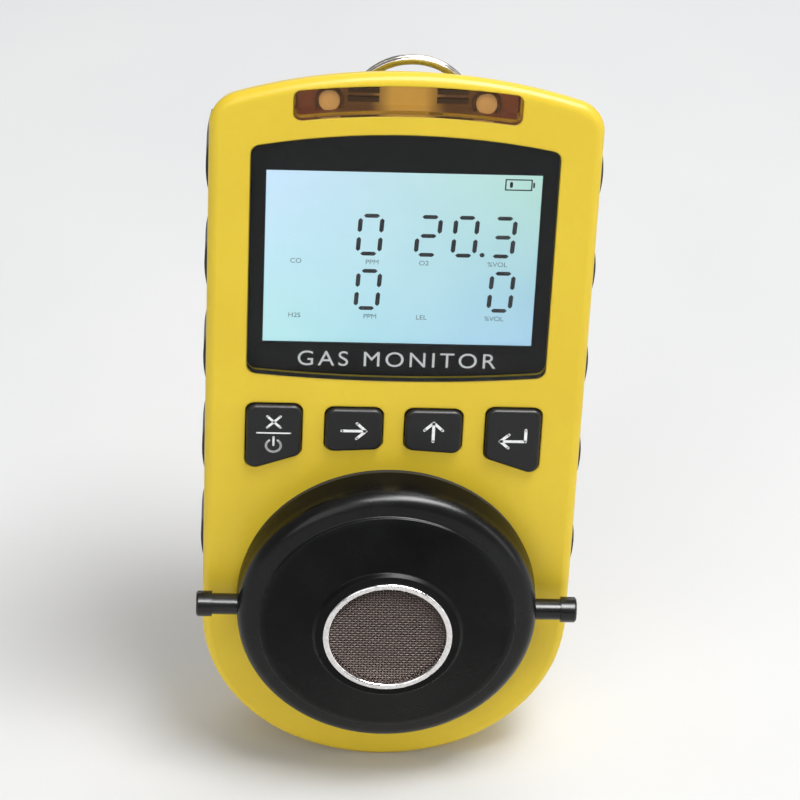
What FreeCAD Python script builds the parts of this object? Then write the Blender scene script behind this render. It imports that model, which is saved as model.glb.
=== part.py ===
"""Portable four-gas detector with a push-on gas hood, belt clip and lanyard ring.

Row frame: +X is right seen from the front, +Z is up and the front faces -Y.
The origin is in the middle of the back face, where the belt clip is fastened.
A depth is a distance in front of the back face, so depth d lies at y = -d.
"""

import FreeCAD, Part

import os
import re

import Sketcher

Vector = FreeCAD.Vector

# Driving dimensions in millimetres and degrees.
SIZES = {
    # case
    "case_width": 63,
    "case_height": 136.6,
    "case_depth": 26,
    "top_radius": 88,
    "corner_radius": 6,
    "top_rake": 27.5,
    "toe_radius": 34.5,
    "toe_corner": 29.5,
    "front_round": 1.5,
    "back_round": 5,
    "wall": 2.2,
    "front_wall": 3,
    "parting": 13,
    "label_half": 15,
    "label_top": -36,
    "label_bottom": -56,
    "label_thickness": 0.5,
    "seal_thickness": 1,
    # display window and screen
    "window_half": 24.7,
    "window_top": 56.8,
    "window_bottom": 10.6,
    "window_top_arc": 120,
    "window_bottom_arc": 250,
    "window_corner": 1.7,
    "window_depth": 1.2,
    "bezel_thickness": 0.8,
    "screen_half": 22.2,
    "screen_top": 49.2,
    "screen_bottom": 16.8,
    "screen_border": 1,
    "glass_thickness": 1.4,
    # alarm lamp lens
    "lens_half": 18.1,
    "lens_top": 65.5,
    "lens_bottom": 60.3,
    "lens_arc": 130,
    "lens_corner": 1.3,
    "lens_ledge": 0.3,
    "led_spread": 12.5,
    "led_height": 61.5,
    "led_radius": 1.5,
    "led_back": 22.8,
    "led_front": 24.6,
    "led_board_back": 22.2,
    "led_board_bottom": 52,
    # keys
    "key_clearance": 0.2,
    "key_proud": 0.9,
    "key_travel": 0.4,
    "key_flange": 0.7,
    "key_corner": 1.6,
    "outer_key_in": 15.4,
    "outer_key_out": 24.6,
    "outer_key_top": 5.7,
    "inner_key_in": 1.9,
    "inner_key_out": 11.4,
    "inner_key_top": 5.2,
    "stem_radius": 1.3,
    # circuit boards
    "board_depth": 18,
    "board_thickness": 1.6,
    "board_half": 23.6,
    "board_top": 55,
    "board_bottom": -12,
    "board_screw_side": 20.6,
    "board_screw_top": 53,
    "board_screw_bottom": -10.2,
    # gas hood
    "hood_z": -32.4,
    "hood_radius": 25.6,
    "hood_bore": 23.4,
    "hood_height": 13,
    "hood_shoulder": 7.4,
    "hood_edge": 1.4,
    "hood_seat": 11.2,
    "collar_radius": 23.2,
    "collar_height": 2.5,
    "chamber_radius": 22.4,
    "ring_outer": 11,
    "ring_inner": 9.9,
    "mesh_thickness": 0.5,
    "filter_thickness": 0.4,
    # hose barbs
    "barb_height": 4.3,
    "barb_tip": 32.5,
    "barb_collar": 2.4,
    "barb_radius": 2.2,
    "tube_radius": 1.8,
    "tube_bore": 1.1,
    # gas sensors
    "sensor_radius": 7.75,
    "sensor_length": 11,
    "sensor_pitch": 8.4,
    "sensor_face": 24.6,
    # side grips
    "grip_depth": 1,
    "grip_front": 23.2,
    "grip_back": 14.4,
    "grip_top": 54.6,
    "grip_bottom": -28.8,
    "bump_pitch": 18,
    "bump_middle": 13,
    "bump_half": 5.5,
    "bump_arc": 20.5,
    "grip_step": 0.3,
    # case screws
    "case_screw_side": 27,
    "case_screw_top": 42,
    "case_screw_toe": 14,
    "case_screw_bottom": -58,
    "post_radius": 2.8,
    "screw_radius": 1,
    "insert_radius": 1.6,
    "insert_length": 4,
    # battery
    "battery_half": 17,
    "battery_top": 47,
    "battery_bottom": -1,
    "battery_back": 3.4,
    "battery_front": 11.4,
    "tray_wall": 1.2,
    # belt clip
    "clip_half": 10,
    "clip_plate": 1.5,
    "clip_top": 22,
    "clip_bottom": -30,
    "lever_gap": 8,
    "pivot_y": 5.2,
    "pivot_z": 10,
    "pin_radius": 1.2,
    "ear_radius": 2.7,
    # lanyard ring
    "ring_y": 3,
    "ring_z": 35.4,
    "ring_lean": 11,
    "ring_radius": 10.1,
    "wire_radius": 0.9,
    "lug_hole": 1.5,
    "lug_round": 2.6,
    # charging port
    "port_depth": 7,
    "port_inset": 2.3,
    "socket_length": 7.2,
    "socket_half": 4.5,
    "socket_height": 1.6,
    "socket_sheet": 0.35,
    "port_board_length": 12,
    "port_board_thickness": 1.2,
    "flap_half": 6.8,
    "flap_recess": 1.1,
    # vibration motor
    "motor_z": -4,
    "motor_depth": 14.9,
    "motor_radius": 3,
    "motor_back": 5,
    "motor_front": 15,
    "weight_end": 19,
}

doc = FreeCAD.newDocument("gas_detector")
sheet = doc.addObject("Spreadsheet::Sheet", "Sizes")
for row, (size_name, size) in enumerate(SIZES.items(), start=1):
    sheet.set(f"A{row}", size_name)
    sheet.set(f"B{row}", str(size))
    sheet.setAlias(f"B{row}", size_name)
doc.recompute()

# Expressions that several sub-parts share.
HALF_WIDTH = "case_width / 2"
TOE_CENTRE_Z = "(toe_radius - case_height / 2)"
TOE_SIDE_X = f"({HALF_WIDTH} - toe_corner)"
TOE_DROP = f"sqrt((toe_radius - toe_corner)^2 - {TOE_SIDE_X}^2)"
TOE_Z = f"({TOE_CENTRE_Z} - {TOE_DROP})"
TOP_CENTRE_Z = "(case_height / 2 - top_radius)"
CORNER_X = f"({HALF_WIDTH} - corner_radius)"
CORNER_RISE = f"sqrt((top_radius - corner_radius)^2 - {CORNER_X}^2)"
SEAL_BACK = "(parting - seal_thickness / 2)"
SEAL_FRONT = "(parting + seal_thickness / 2)"
BEZEL_FRONT = "(case_depth - window_depth)"
BEZEL_BACK = "(case_depth - window_depth - bezel_thickness)"
GLASS_BACK = f"({BEZEL_BACK} - glass_thickness)"
LIGHT_BACK = f"({GLASS_BACK} - glass_thickness)"
BOARD_FRONT = "(board_depth + board_thickness)"
SHELL_INSIDE = "(case_depth - front_wall)"
SENSOR_BACK = "(sensor_face - sensor_length)"
PORT_END = "(port_inset - case_height / 2)"

TURN_ALONG = {
    "x": FreeCAD.Rotation(Vector(0, 1, 0), 90),
    "y": FreeCAD.Rotation(Vector(1, 0, 0), -90),
    "z": FreeCAD.Rotation(),
}


# ---------------------------------------------------------------- expressions


def linked(text):
    """Point the bare size names of an expression at the sheet."""
    return re.sub(r"[a-z_]+", lambda name: "Sizes." + name[0] if name[0] in SIZES else name[0], str(text))


def value(text):
    """Number that an expression stands for."""
    return float(sheet.evalExpression(linked(text)))


def bind(item, prop, text):
    item.setExpression(prop, linked(text))


# ----------------------------------------------------------------- primitives


def block(name, x, y, z):
    """Box with a low and a high expression on each axis."""
    item = doc.addObject("Part::Box", name)
    for size_prop, axis, (low, high) in zip(("Length", "Width", "Height"), "xyz", (x, y, z)):
        bind(item, size_prop, f"({high}) - ({low})")
        bind(item, "Placement.Base." + axis, low)
    return item


def deep_block(name, x, depth, z):
    """Box whose extent along y is given as a back and a front depth."""
    back, front = depth
    return block(name, x, (f"-({front})", f"-({back})"), z)


def rod(name, axis, span, radius, across):
    """Cylinder along an axis, at two expressions across the other two axes."""
    item = doc.addObject("Part::Cylinder", name)
    item.Placement = FreeCAD.Placement(Vector(), TURN_ALONG[axis])
    bind(item, "Radius", radius)
    bind(item, "Height", f"({span[1]}) - ({span[0]})")
    bind(item, "Placement.Base." + axis, span[0])
    for other, text in zip([letter for letter in "xyz" if letter != axis], across):
        bind(item, "Placement.Base." + other, text)
    return item


def deep_rod(name, depth, radius, x, z):
    """Cylinder along y between a back and a front depth."""
    back, front = depth
    return rod(name, "y", (f"-({front})", f"-({back})"), radius, (x, z))


def fused(label, items):
    item = doc.addObject("Part::MultiFuse", label)
    item.Shapes = items
    return item


def cut(label, base, tools):
    """Base less one tool or several."""
    item = doc.addObject("Part::Cut", label)
    item.Base = base
    item.Tool = tools[0] if len(tools) == 1 else fused(label + "_tools", tools)
    return item


def overlap(label, items):
    item = doc.addObject("Part::MultiCommon", label)
    item.Shapes = items
    return item


def group(label, items):
    """Separate solids that share one node."""
    item = doc.addObject("Part::Compound", label)
    item.Links = items
    return item


# ------------------------------------------------------- sketches and bodies


def new_body(label):
    return doc.addObject("PartDesign::Body", label)


def sketch_on(body, role, name, offset="0", up="0"):
    """Sketch on one of the body's own origin planes, moved off it and up it."""
    plane = next(item for item in body.Origin.OriginFeatures if item.Role == role)
    sketch = body.newObject("Sketcher::SketchObject", name)
    sketch.AttachmentSupport = [(plane, "")]
    sketch.MapMode = "FlatFace"
    bind(sketch, "AttachmentOffset.Base.z", offset)
    bind(sketch, "AttachmentOffset.Base.y", up)
    return sketch


def hold(sketch, kind, geometry, text):
    """Constraint whose value follows an expression."""
    index = sketch.addConstraint(Sketcher.Constraint(kind, *geometry, value(text)))
    bind(sketch, f"Constraints[{index}]", text)


def arc_between(start, end, radius):
    """Counter-clockwise arc shorter than half a turn."""
    chord = end - start
    rise = (radius**2 - (chord.Length / 2) ** 2) ** 0.5
    left = Vector(-chord.y, chord.x, 0).normalize()
    centre = (start + end) / 2 + left * rise
    middle = centre - left * radius
    return Part.Arc(start, middle, end)


def outline(sketch, corners):
    """Closed outline drawn counter-clockwise through corners (x, y) or (x, y, radius).

    A radius turns the edge that leaves the corner into an arc, bulging outwards,
    or inwards when the text starts with a minus.
    """
    spots = [Vector(value(corner[0]), value(corner[1]), 0) for corner in corners]
    starts = []
    ends = []
    for number, corner in enumerate(corners):
        start = spots[number]
        end = spots[(number + 1) % len(corners)]
        inward = len(corner) == 3 and corner[2].startswith("-")
        if len(corner) == 2:
            edge = Part.LineSegment(start, end)
        elif inward:
            edge = arc_between(end, start, value(corner[2][1:]))
        else:
            edge = arc_between(start, end, value(corner[2]))
        geometry = sketch.addGeometry(edge)
        starts.append((geometry, 2 if inward else 1))
        ends.append((geometry, 1 if inward else 2))
    for number, corner in enumerate(corners):
        sketch.addConstraint(Sketcher.Constraint("Coincident", *ends[number - 1], *starts[number]))
        hold(sketch, "DistanceX", (-1, 1, *starts[number]), corner[0])
        hold(sketch, "DistanceY", (-1, 1, *starts[number]), corner[1])
        if len(corner) == 3:
            hold(sketch, "Radius", (starts[number][0],), corner[2].lstrip("-"))


def mirrored(corners):
    """The same outline on the other side of the mid-plane."""
    flipped = []
    for number in range(len(corners)):
        x, y = corners[-number][:2]
        arc = corners[-number - 1][2:]
        flipped.append((f"-({x})", y, *arc))
    return flipped


def pad(body, sketch, length, symmetric=False):
    feature = body.newObject("PartDesign::Pad", body.Label + "_pad")
    feature.Profile = sketch
    if symmetric:
        feature.SideType = "Symmetric"
    bind(feature, "Length", length)
    return feature


def loft(body, kind, sketches):
    """Straight-sided loft between two sketches."""
    feature = body.newObject(kind, body.Label + "_" + kind.split("::")[1].lower())
    feature.Profile = sketches[0]
    feature.Sections = sketches[1:]
    feature.Ruled = True
    return feature


def revolve(body, sketch):
    """Full turn about the sketch's own horizontal axis."""
    feature = body.newObject("PartDesign::Revolution", body.Label + "_turn")
    feature.Profile = sketch
    feature.ReferenceAxis = (sketch, ["H_Axis"])
    feature.Angle = 360
    return feature


def fillet(body, feature, radius, wanted):
    """Round the edges of the last feature that pass a test."""
    doc.recompute()
    names = [f"Edge{number}" for number, edge in enumerate(feature.Shape.Edges, start=1) if wanted(edge)]
    rounded = body.newObject("PartDesign::Fillet", body.Label + "_fillet")
    rounded.Base = (feature, names)
    bind(rounded, "Radius", radius)
    return rounded


def runs_along_y(edge):
    box = edge.BoundBox
    return box.XLength < 1e-6 and box.ZLength < 1e-6


def lies_at_depth(depth):
    """Test for edges in the plane at one depth."""
    y = -value(depth)

    def test(edge):
        box = edge.BoundBox
        return abs(box.YMin - y) < 1e-4 and abs(box.YMax - y) < 1e-4

    return test


def plate(label, corners, back, front, corner_round=None, rim_round=None):
    """Flat piece with an outline seen from the front, between two depths."""
    body = new_body(label)
    sketch = sketch_on(body, "XZ_Plane", label + "_outline", offset=back)
    outline(sketch, corners)
    feature = pad(body, sketch, f"({front}) - ({back})")
    if corner_round:
        feature = fillet(body, feature, corner_round, runs_along_y)
    if rim_round:
        fillet(body, feature, rim_round, lies_at_depth(front))
    return body


def turned_about_y(label, profile):
    """Round piece about the hood's axis from a profile of (height off the face, radius)."""
    body = new_body(label)
    sketch = sketch_on(body, "YZ_Plane", label + "_profile", up="hood_z")
    outline(sketch, [(f"-(case_depth + {corner[0]})", *corner[1:]) for corner in profile])
    revolve(body, sketch)
    return body


# ------------------------------------------------------------------- the case


def case_outline(inset, depth):
    """Case outline at a depth: full round toe, straight sides and a shallow arched top.

    The top slopes down towards the back, so the outline's top drops with depth.
    """
    drop = f"(case_depth - ({depth})) * tan(top_rake)"
    side = f"({HALF_WIDTH} - ({inset}))"
    toe_reach = f"(toe_radius - ({inset})) / (toe_radius - toe_corner)"
    toe_x = f"{TOE_SIDE_X} * {toe_reach}"
    toe_z = f"{TOE_CENTRE_Z} - {TOE_DROP} * {toe_reach}"
    toe_arc = f"toe_corner - ({inset})"
    corner_z = f"{TOP_CENTRE_Z} + {CORNER_RISE} - {drop}"
    reach = f"(top_radius - ({inset})) / (top_radius - corner_radius)"
    shoulder_x = f"{CORNER_X} * {reach}"
    shoulder_z = f"{TOP_CENTRE_Z} + {CORNER_RISE} * {reach} - {drop}"
    corner_arc = f"corner_radius - ({inset})"
    return [
        (toe_x, toe_z, toe_arc),
        (side, TOE_Z),
        (side, corner_z, corner_arc),
        (shoulder_x, shoulder_z, f"top_radius - ({inset})"),
        (f"-({shoulder_x})", shoulder_z, corner_arc),
        (f"-{side}", corner_z),
        (f"-{side}", TOE_Z, toe_arc),
        (f"-({toe_x})", toe_z, f"toe_radius - ({inset})"),
    ]


def case_loft(body, kind, inset, back, front):
    """Stretch of the case shape from a smaller depth to a larger one."""
    sketches = []
    for end, depth in (("back", back), ("front", front)):
        sketch = sketch_on(body, "XZ_Plane", f"{body.Label}_{end}_{len(body.Group)}", offset=depth)
        outline(sketch, case_outline(inset, depth))
        sketches.append(sketch)
    return loft(body, kind, sketches)


def shell_blank(label, outer, cavity, rim_depth, rim_radius):
    """Hollow half of the case with one rounded rim."""
    body = new_body(label)
    solid = case_loft(body, "PartDesign::AdditiveLoft", "0", *outer)
    fillet(body, solid, rim_radius, lies_at_depth(rim_depth))
    case_loft(body, "PartDesign::SubtractiveLoft", "wall", *cavity)
    return body


def window_outline(inset):
    """Display window: straight sides, arched top and bottom."""
    half = f"(window_half - ({inset}))"
    top_drop = f"(window_top_arc - sqrt(window_top_arc^2 - {half}^2))"
    bottom_rise = f"(window_bottom_arc - sqrt(window_bottom_arc^2 - {half}^2))"
    top = f"window_top - {top_drop} - ({inset})"
    bottom = f"window_bottom + {bottom_rise} + ({inset})"
    return [
        (f"-{half}", bottom, "window_bottom_arc"),
        (half, bottom),
        (half, top, "window_top_arc"),
        (f"-{half}", top),
    ]


def lens_outline(inset):
    """Alarm lamp lens: a band arched like the top of the case."""
    half = f"(lens_half - ({inset}))"
    drop = f"(lens_arc - sqrt(lens_arc^2 - {half}^2))"
    bottom = f"lens_bottom - {drop} + ({inset})"
    top = f"lens_top - {drop} - ({inset})"
    return [
        (f"-{half}", bottom, "-lens_arc"),
        (half, bottom),
        (half, top, "lens_arc"),
        (f"-{half}", top),
    ]


def rectangle(half, bottom, top):
    return [(f"-({half})", bottom), (half, bottom), (half, top), (f"-({half})", top)]


OUTER_KEY_BOTTOM = ("-4.05", "-7.4")
INNER_KEY_BOTTOM = ("-2.7", "-3.3")


def key_outline(kind, side, grow):
    """Key seen from the front; its bottom edge slants down away from the middle."""
    near_z, far_z = OUTER_KEY_BOTTOM if kind == "outer" else INNER_KEY_BOTTOM
    corners = [
        (f"{kind}_key_in - ({grow})", f"{near_z} - ({grow})"),
        (f"{kind}_key_out + ({grow})", f"{far_z} - ({grow})"),
        (f"{kind}_key_out + ({grow})", f"{kind}_key_top + ({grow})"),
        (f"{kind}_key_in - ({grow})", f"{kind}_key_top + ({grow})"),
    ]
    return corners if side > 0 else mirrored(corners)


# Name, key shape and side of each key, from left to right.
KEYS = [
    ("key_power", "outer", -1),
    ("key_next", "inner", -1),
    ("key_up", "inner", 1),
    ("key_enter", "outer", 1),
]


def key_centre(kind, side):
    """Middle of a key as x and z expressions."""
    far_z = OUTER_KEY_BOTTOM[1] if kind == "outer" else INNER_KEY_BOTTOM[1]
    x = f"{side} * ({kind}_key_in + {kind}_key_out) / 2"
    z = f"({kind}_key_top + {far_z}) / 2 + 0.5"
    return x, z


CASE_SCREWS = [
    ("case_screw_side", "case_screw_top"),
    ("-case_screw_side", "case_screw_top"),
    ("case_screw_toe", "case_screw_bottom"),
    ("-case_screw_toe", "case_screw_bottom"),
]
BOARD_SCREWS = [
    ("board_screw_side", "board_screw_top"),
    ("-board_screw_side", "board_screw_top"),
    ("board_screw_side", "board_screw_bottom"),
    ("-board_screw_side", "board_screw_bottom"),
]


def front_shell():
    """Front half: window and lens recesses, key holes, sensor opening and collar."""
    blank = shell_blank(
        "front_blank",
        (SEAL_FRONT, "case_depth"),
        (SEAL_FRONT, SHELL_INSIDE),
        "case_depth",
        "front_round",
    )
    solids = [blank]
    solids.append(
        deep_rod("collar", ("case_depth - 0.5", "case_depth + collar_height"), "collar_radius", "0", "hood_z")
    )
    for number, (x, z) in enumerate(CASE_SCREWS):
        depth = (SEAL_FRONT, f"{SHELL_INSIDE} + 0.5")
        solids.append(deep_rod(f"front_post_{number}", depth, "post_radius", x, z))
    for number, (x, z) in enumerate(BOARD_SCREWS):
        depth = (BOARD_FRONT, f"{SHELL_INSIDE} + 0.5")
        solids.append(deep_rod(f"board_post_{number}", depth, "1.6", x, z))

    tools = []
    past_face = "case_depth + 1"
    tools.append(plate("window_recess", window_outline("-0.1"), BEZEL_BACK, past_face, "window_corner"))
    glass = rectangle(
        "screen_half + screen_border + 0.15",
        "screen_bottom - screen_border - 0.15",
        "screen_top + screen_border + 0.15",
    )
    tools.append(plate("screen_opening", glass, f"{SHELL_INSIDE} - 1", past_face))
    tools.append(plate("lens_recess", lens_outline("-0.1"), BEZEL_FRONT, past_face, "lens_corner"))
    tools.append(plate("lamp_opening", lens_outline("lens_ledge"), f"{SHELL_INSIDE} - 0.2", past_face, "0.9"))
    for name, kind, side in KEYS:
        corners = key_outline(kind, side, "key_clearance")
        tools.append(plate(name + "_hole", corners, f"{SHELL_INSIDE} - 1", past_face, "key_corner"))
    chamber = (f"{SHELL_INSIDE} - 1", "case_depth + collar_height + 1")
    tools.append(deep_rod("chamber", chamber, "chamber_radius", "0", "hood_z"))
    for side in (-1, 1):
        x = (f"{HALF_WIDTH} - grip_depth", f"{HALF_WIDTH} + 1")
        span = x if side > 0 else (f"-({x[1]})", f"-({x[0]})")
        height = ("grip_bottom", "grip_top")
        tools.append(deep_block(f"grip_recess_{side + 1}", span, ("grip_back", "grip_front"), height))
    for number, (x, z) in enumerate(CASE_SCREWS):
        depth = (f"{SEAL_FRONT} - 1", f"{SEAL_FRONT} + insert_length")
        tools.append(deep_rod(f"insert_bore_{number}", depth, "insert_radius", x, z))
    for number, (x, z) in enumerate(BOARD_SCREWS):
        depth = (f"{BOARD_FRONT} - 1", f"{BOARD_FRONT} + 3")
        tools.append(deep_rod(f"board_pilot_{number}", depth, "0.8", x, z))
    return cut("front_shell", fused("front_solid", solids), tools)


def back_shell():
    """Back half: screw tubes, ribs, label recess and charging port."""
    blank = shell_blank(
        "back_blank",
        ("0", SEAL_BACK),
        ("wall", SEAL_BACK),
        "0",
        "back_round",
    )
    solids = [blank]
    for number, (x, z) in enumerate(CASE_SCREWS):
        solids.append(deep_rod(f"back_tube_{number}", ("wall - 0.5", SEAL_BACK), "post_radius", x, z))
    for side in (-1, 1):
        depth = ("wall - 0.5", f"{SENSOR_BACK} - board_thickness")
        solids.append(deep_rod(f"sensor_rib_{side + 1}", depth, "2", f"{side * 18}", "hood_z"))
    rib_depth = ("wall - 0.5", "port_depth - socket_height - port_board_thickness")
    rib_z = (f"{PORT_END} + 3", f"{PORT_END} + 9")
    solids.append(deep_block("port_rib", ("-6", "6"), rib_depth, rib_z))

    tools = []
    for number, (x, z) in enumerate(CASE_SCREWS):
        through = ("-1", f"{SEAL_BACK} + 1")
        tools.append(deep_rod(f"screw_bore_{number}", through, "screw_radius + 0.15", x, z))
        tools.append(deep_rod(f"screw_sink_{number}", ("-1", "wall + 0.2"), "2.1", x, z))
    for number, (x, z) in enumerate(BRACKET_SCREWS):
        tools.append(deep_rod(f"bracket_bore_{number}", ("-1", "2"), "1.2", x, z))
    label_x = ("-label_half - 0.1", "label_half + 0.1")
    label_z = ("label_bottom - 0.1", "label_top + 0.1")
    tools.append(deep_block("label_recess", label_x, ("-1", "label_thickness"), label_z))
    flap_x = ("-flap_half - 0.2", "flap_half + 0.2")
    flap_z = ("-case_height / 2 - 1", "flap_recess - case_height / 2")
    tools.append(deep_block("flap_recess_cut", flap_x, ("port_depth - 4", "port_depth + 4"), flap_z))
    slot_x = ("-socket_half - 0.2", "socket_half + 0.2")
    slot_depth = ("port_depth - socket_height - 0.2", "port_depth + socket_height + 0.2")
    slot_z = ("-case_height / 2 - 1", f"{PORT_END} + 0.4")
    tools.append(deep_block("port_slot", slot_x, slot_depth, slot_z))
    return cut("back_shell", fused("back_solid", solids), tools)


def case_seal():
    """Rubber gasket squeezed between the two shells."""
    body = new_body("case_seal")
    case_loft(body, "PartDesign::AdditiveLoft", "0.5", SEAL_BACK, SEAL_FRONT)
    case_loft(body, "PartDesign::SubtractiveLoft", "2", SEAL_BACK, SEAL_FRONT)
    return body


def side_grip(label, side):
    """Rubber strip sunk in the side of the front shell, with five finger bumps that stand proud."""
    surface = f"{HALF_WIDTH} - grip_step"
    corners = [
        (f"{HALF_WIDTH} - grip_depth", "grip_bottom"),
        (surface, "grip_bottom"),
    ]
    for step in range(-2, 3):
        middle = f"bump_middle + {step} * bump_pitch"
        corners.append((surface, f"{middle} - bump_half", "bump_arc"))
        corners.append((surface, f"{middle} + bump_half"))
    corners.append((surface, "grip_top"))
    corners.append((f"{HALF_WIDTH} - grip_depth", "grip_top"))
    return plate(label, corners if side > 0 else mirrored(corners), "grip_back", "grip_front")


def case_screws():
    """Four machine screws that draw the back shell to the front."""
    seat = "wall + 0.2"
    tip = f"{SEAL_FRONT} + insert_length - 0.4"
    slot_depth = ("0.5", "1.5")
    screws = []
    for number, (x, z) in enumerate(CASE_SCREWS):
        shank = deep_rod(f"case_shank_{number}", (seat, tip), "screw_radius", x, z)
        head = deep_rod(f"case_head_{number}", ("0.9", seat), "1.9", x, z)
        solid = fused(f"case_screw_{number}", [shank, head])
        long_x, thin_x = (f"{x} - 1.3", f"{x} + 1.3"), (f"{x} - 0.25", f"{x} + 0.25")
        long_z, thin_z = (f"{z} - 1.3", f"{z} + 1.3"), (f"{z} - 0.25", f"{z} + 0.25")
        across = deep_block(f"case_slot_{number}", long_x, slot_depth, thin_z)
        upright = deep_block(f"case_cross_{number}", thin_x, slot_depth, long_z)
        screws.append(cut(f"case_screw_cut_{number}", solid, [across, upright]))
    return group("case_screws", screws)


def threaded_inserts():
    """Four brass inserts set in the posts of the front shell."""
    inserts = []
    for number, (x, z) in enumerate(CASE_SCREWS):
        depth = (SEAL_FRONT, f"{SEAL_FRONT} + insert_length")
        sleeve = deep_rod(f"insert_sleeve_{number}", depth, "insert_radius", x, z)
        bore = deep_rod(f"insert_hole_{number}", depth, "screw_radius", x, z)
        inserts.append(cut(f"insert_{number}", sleeve, [bore]))
    return group("threaded_inserts", inserts)


def label_plate():
    """Blank rating plate let into the back."""
    x = ("-label_half", "label_half")
    return deep_block("label_plate", x, ("0", "label_thickness"), ("label_bottom", "label_top"))


# ---------------------------------------------------------- display and lamps


def display_window():
    """Clear cover over the screen."""
    return plate("display_window", window_outline("0"), BEZEL_FRONT, "case_depth + 0.1", "window_corner")


def display_bezel():
    """Black frame behind the window, open over the visible screen."""
    frame = plate("bezel_plate", window_outline("0"), BEZEL_BACK, BEZEL_FRONT, "window_corner")
    visible = rectangle("screen_half", "screen_bottom", "screen_top")
    opening = plate("bezel_opening", visible, f"{BEZEL_BACK} - 1", "case_depth")
    return cut("display_bezel", frame, [opening])


def screen_layer(label, back, front):
    """Rectangular layer of the screen stack, a little larger than the visible area."""
    x = ("-screen_half - screen_border", "screen_half + screen_border")
    z = ("screen_bottom - screen_border", "screen_top + screen_border")
    return deep_block(label, x, (back, front), z)


def lcd_holder():
    """Open tray that holds the glass and the backlight on the board."""
    z = ("screen_bottom - 2.2", "screen_top + 2.2")
    tray = deep_block("holder_block", ("-board_half", "board_half"), (BOARD_FRONT, SHELL_INSIDE), z)
    pocket = screen_layer("holder_pocket", LIGHT_BACK, "case_depth")
    return cut("lcd_holder", tray, [pocket])


def led_lens():
    """Smoky cover over the alarm lamps."""
    return plate("led_lens", lens_outline("0"), BEZEL_FRONT, "case_depth + 0.05", "lens_corner")


def alarm_leds():
    """Two round alarm lamps with domed tips."""
    lamps = []
    for side in (-1, 1):
        x = f"{side} * led_spread"
        barrel_end = "led_front - 0.7"
        barrel = deep_rod(f"led_barrel_{side + 1}", ("led_back", barrel_end), "led_radius", x, "led_height")
        dome = doc.addObject("Part::Sphere", f"led_dome_{side + 1}")
        bind(dome, "Radius", "led_radius * 1.25")
        bind(dome, "Placement.Base.x", x)
        bind(dome, "Placement.Base.y", "-(led_front - led_radius * 1.25)")
        bind(dome, "Placement.Base.z", "led_height")
        tip_depth = (barrel_end, "led_front + 0.1")
        column = deep_rod(f"led_column_{side + 1}", tip_depth, "led_radius", x, "led_height")
        tip = overlap(f"led_tip_{side + 1}", [dome, column])
        lamps.append(fused(f"led_{side + 1}", [barrel, tip]))
    return group("alarm_leds", lamps)


def led_board():
    """Small board that carries the lamps in front of the main board."""
    half = "led_spread + 2.5"
    strip_z = ("led_board_bottom", "led_height + 0.4")
    strip = deep_block("led_strip", (f"-({half})", half), ("led_board_back", "led_back"), strip_z)
    leg_z = ("led_board_bottom", "led_board_bottom + 2.5")
    legs = []
    for side in (-1, 1):
        x = (f"{side} * (led_spread - 1.5) - 1.5", f"{side} * (led_spread - 1.5) + 1.5")
        legs.append(deep_block(f"led_leg_{side + 1}", x, (BOARD_FRONT, "led_board_back"), leg_z))
    return fused("led_board", [strip, *legs])


# ---------------------------------------------------------------------- keys


def key(label, kind, side):
    """Push key: cap through the face, flange behind it, stem over its switch."""
    cap = plate(
        label + "_cap",
        key_outline(kind, side, "0"),
        f"{SHELL_INSIDE} - 0.1",
        "case_depth + key_proud",
        "key_corner",
        "0.6",
    )
    flange = plate(
        label + "_flange",
        key_outline(kind, side, "0.7"),
        f"{SHELL_INSIDE} - key_flange",
        SHELL_INSIDE,
        "key_corner",
    )
    stem_back = f"{BOARD_FRONT} + 1.25 + key_travel"
    x, z = key_centre(kind, side)
    stem = deep_rod(label + "_stem", (stem_back, SHELL_INSIDE), "stem_radius", x, z)
    return fused(label, [cap, flange, stem])


def keypad_mat():
    """Silicone sheet behind the keys, on feet that stand on the board."""
    back = f"{BOARD_FRONT} + 1.6"
    sheet_body = plate("mat_sheet", rectangle("board_half", "-7.7", "7.6"), back, f"{back} + 0.6", "1.5")
    feet = []
    for number, (x, z) in enumerate((("-13.4", "-6.5"), ("13.4", "-6.5"), ("-13.4", "6"), ("13.4", "6"))):
        feet.append(deep_rod(f"mat_foot_{number}", (BOARD_FRONT, back), "1", x, z))
    holes = []
    for name, kind, side in KEYS:
        x, z = key_centre(kind, side)
        holes.append(deep_rod(name + "_mat_hole", (BOARD_FRONT, "case_depth"), "stem_radius + 0.4", x, z))
    return cut("keypad_mat", fused("mat_solid", [sheet_body, *feet]), holes)


def key_switches():
    """Four tact switches on the board, one under each key."""
    switches = []
    for name, kind, side in KEYS:
        x, z = key_centre(kind, side)
        can = deep_block(
            name + "_can",
            (f"{x} - 2.2", f"{x} + 2.2"),
            (BOARD_FRONT, f"{BOARD_FRONT} + 0.8"),
            (f"{z} - 2.2", f"{z} + 2.2"),
        )
        button = deep_rod(name + "_button", (f"{BOARD_FRONT} + 0.7", f"{BOARD_FRONT} + 1.2"), "1", x, z)
        switches.append(fused(name + "_switch", [can, button]))
    return group("key_switches", switches)


# ------------------------------------------------------------- inner workings


def main_board():
    board = deep_block(
        "board_blank",
        ("-board_half", "board_half"),
        ("board_depth", BOARD_FRONT),
        ("board_bottom", "board_top"),
    )
    holes = [
        deep_rod(f"board_hole_{number}", ("board_depth - 1", f"{BOARD_FRONT} + 1"), "0.9", x, z)
        for number, (x, z) in enumerate(BOARD_SCREWS)
    ]
    return cut("main_board", board, holes)


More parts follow.
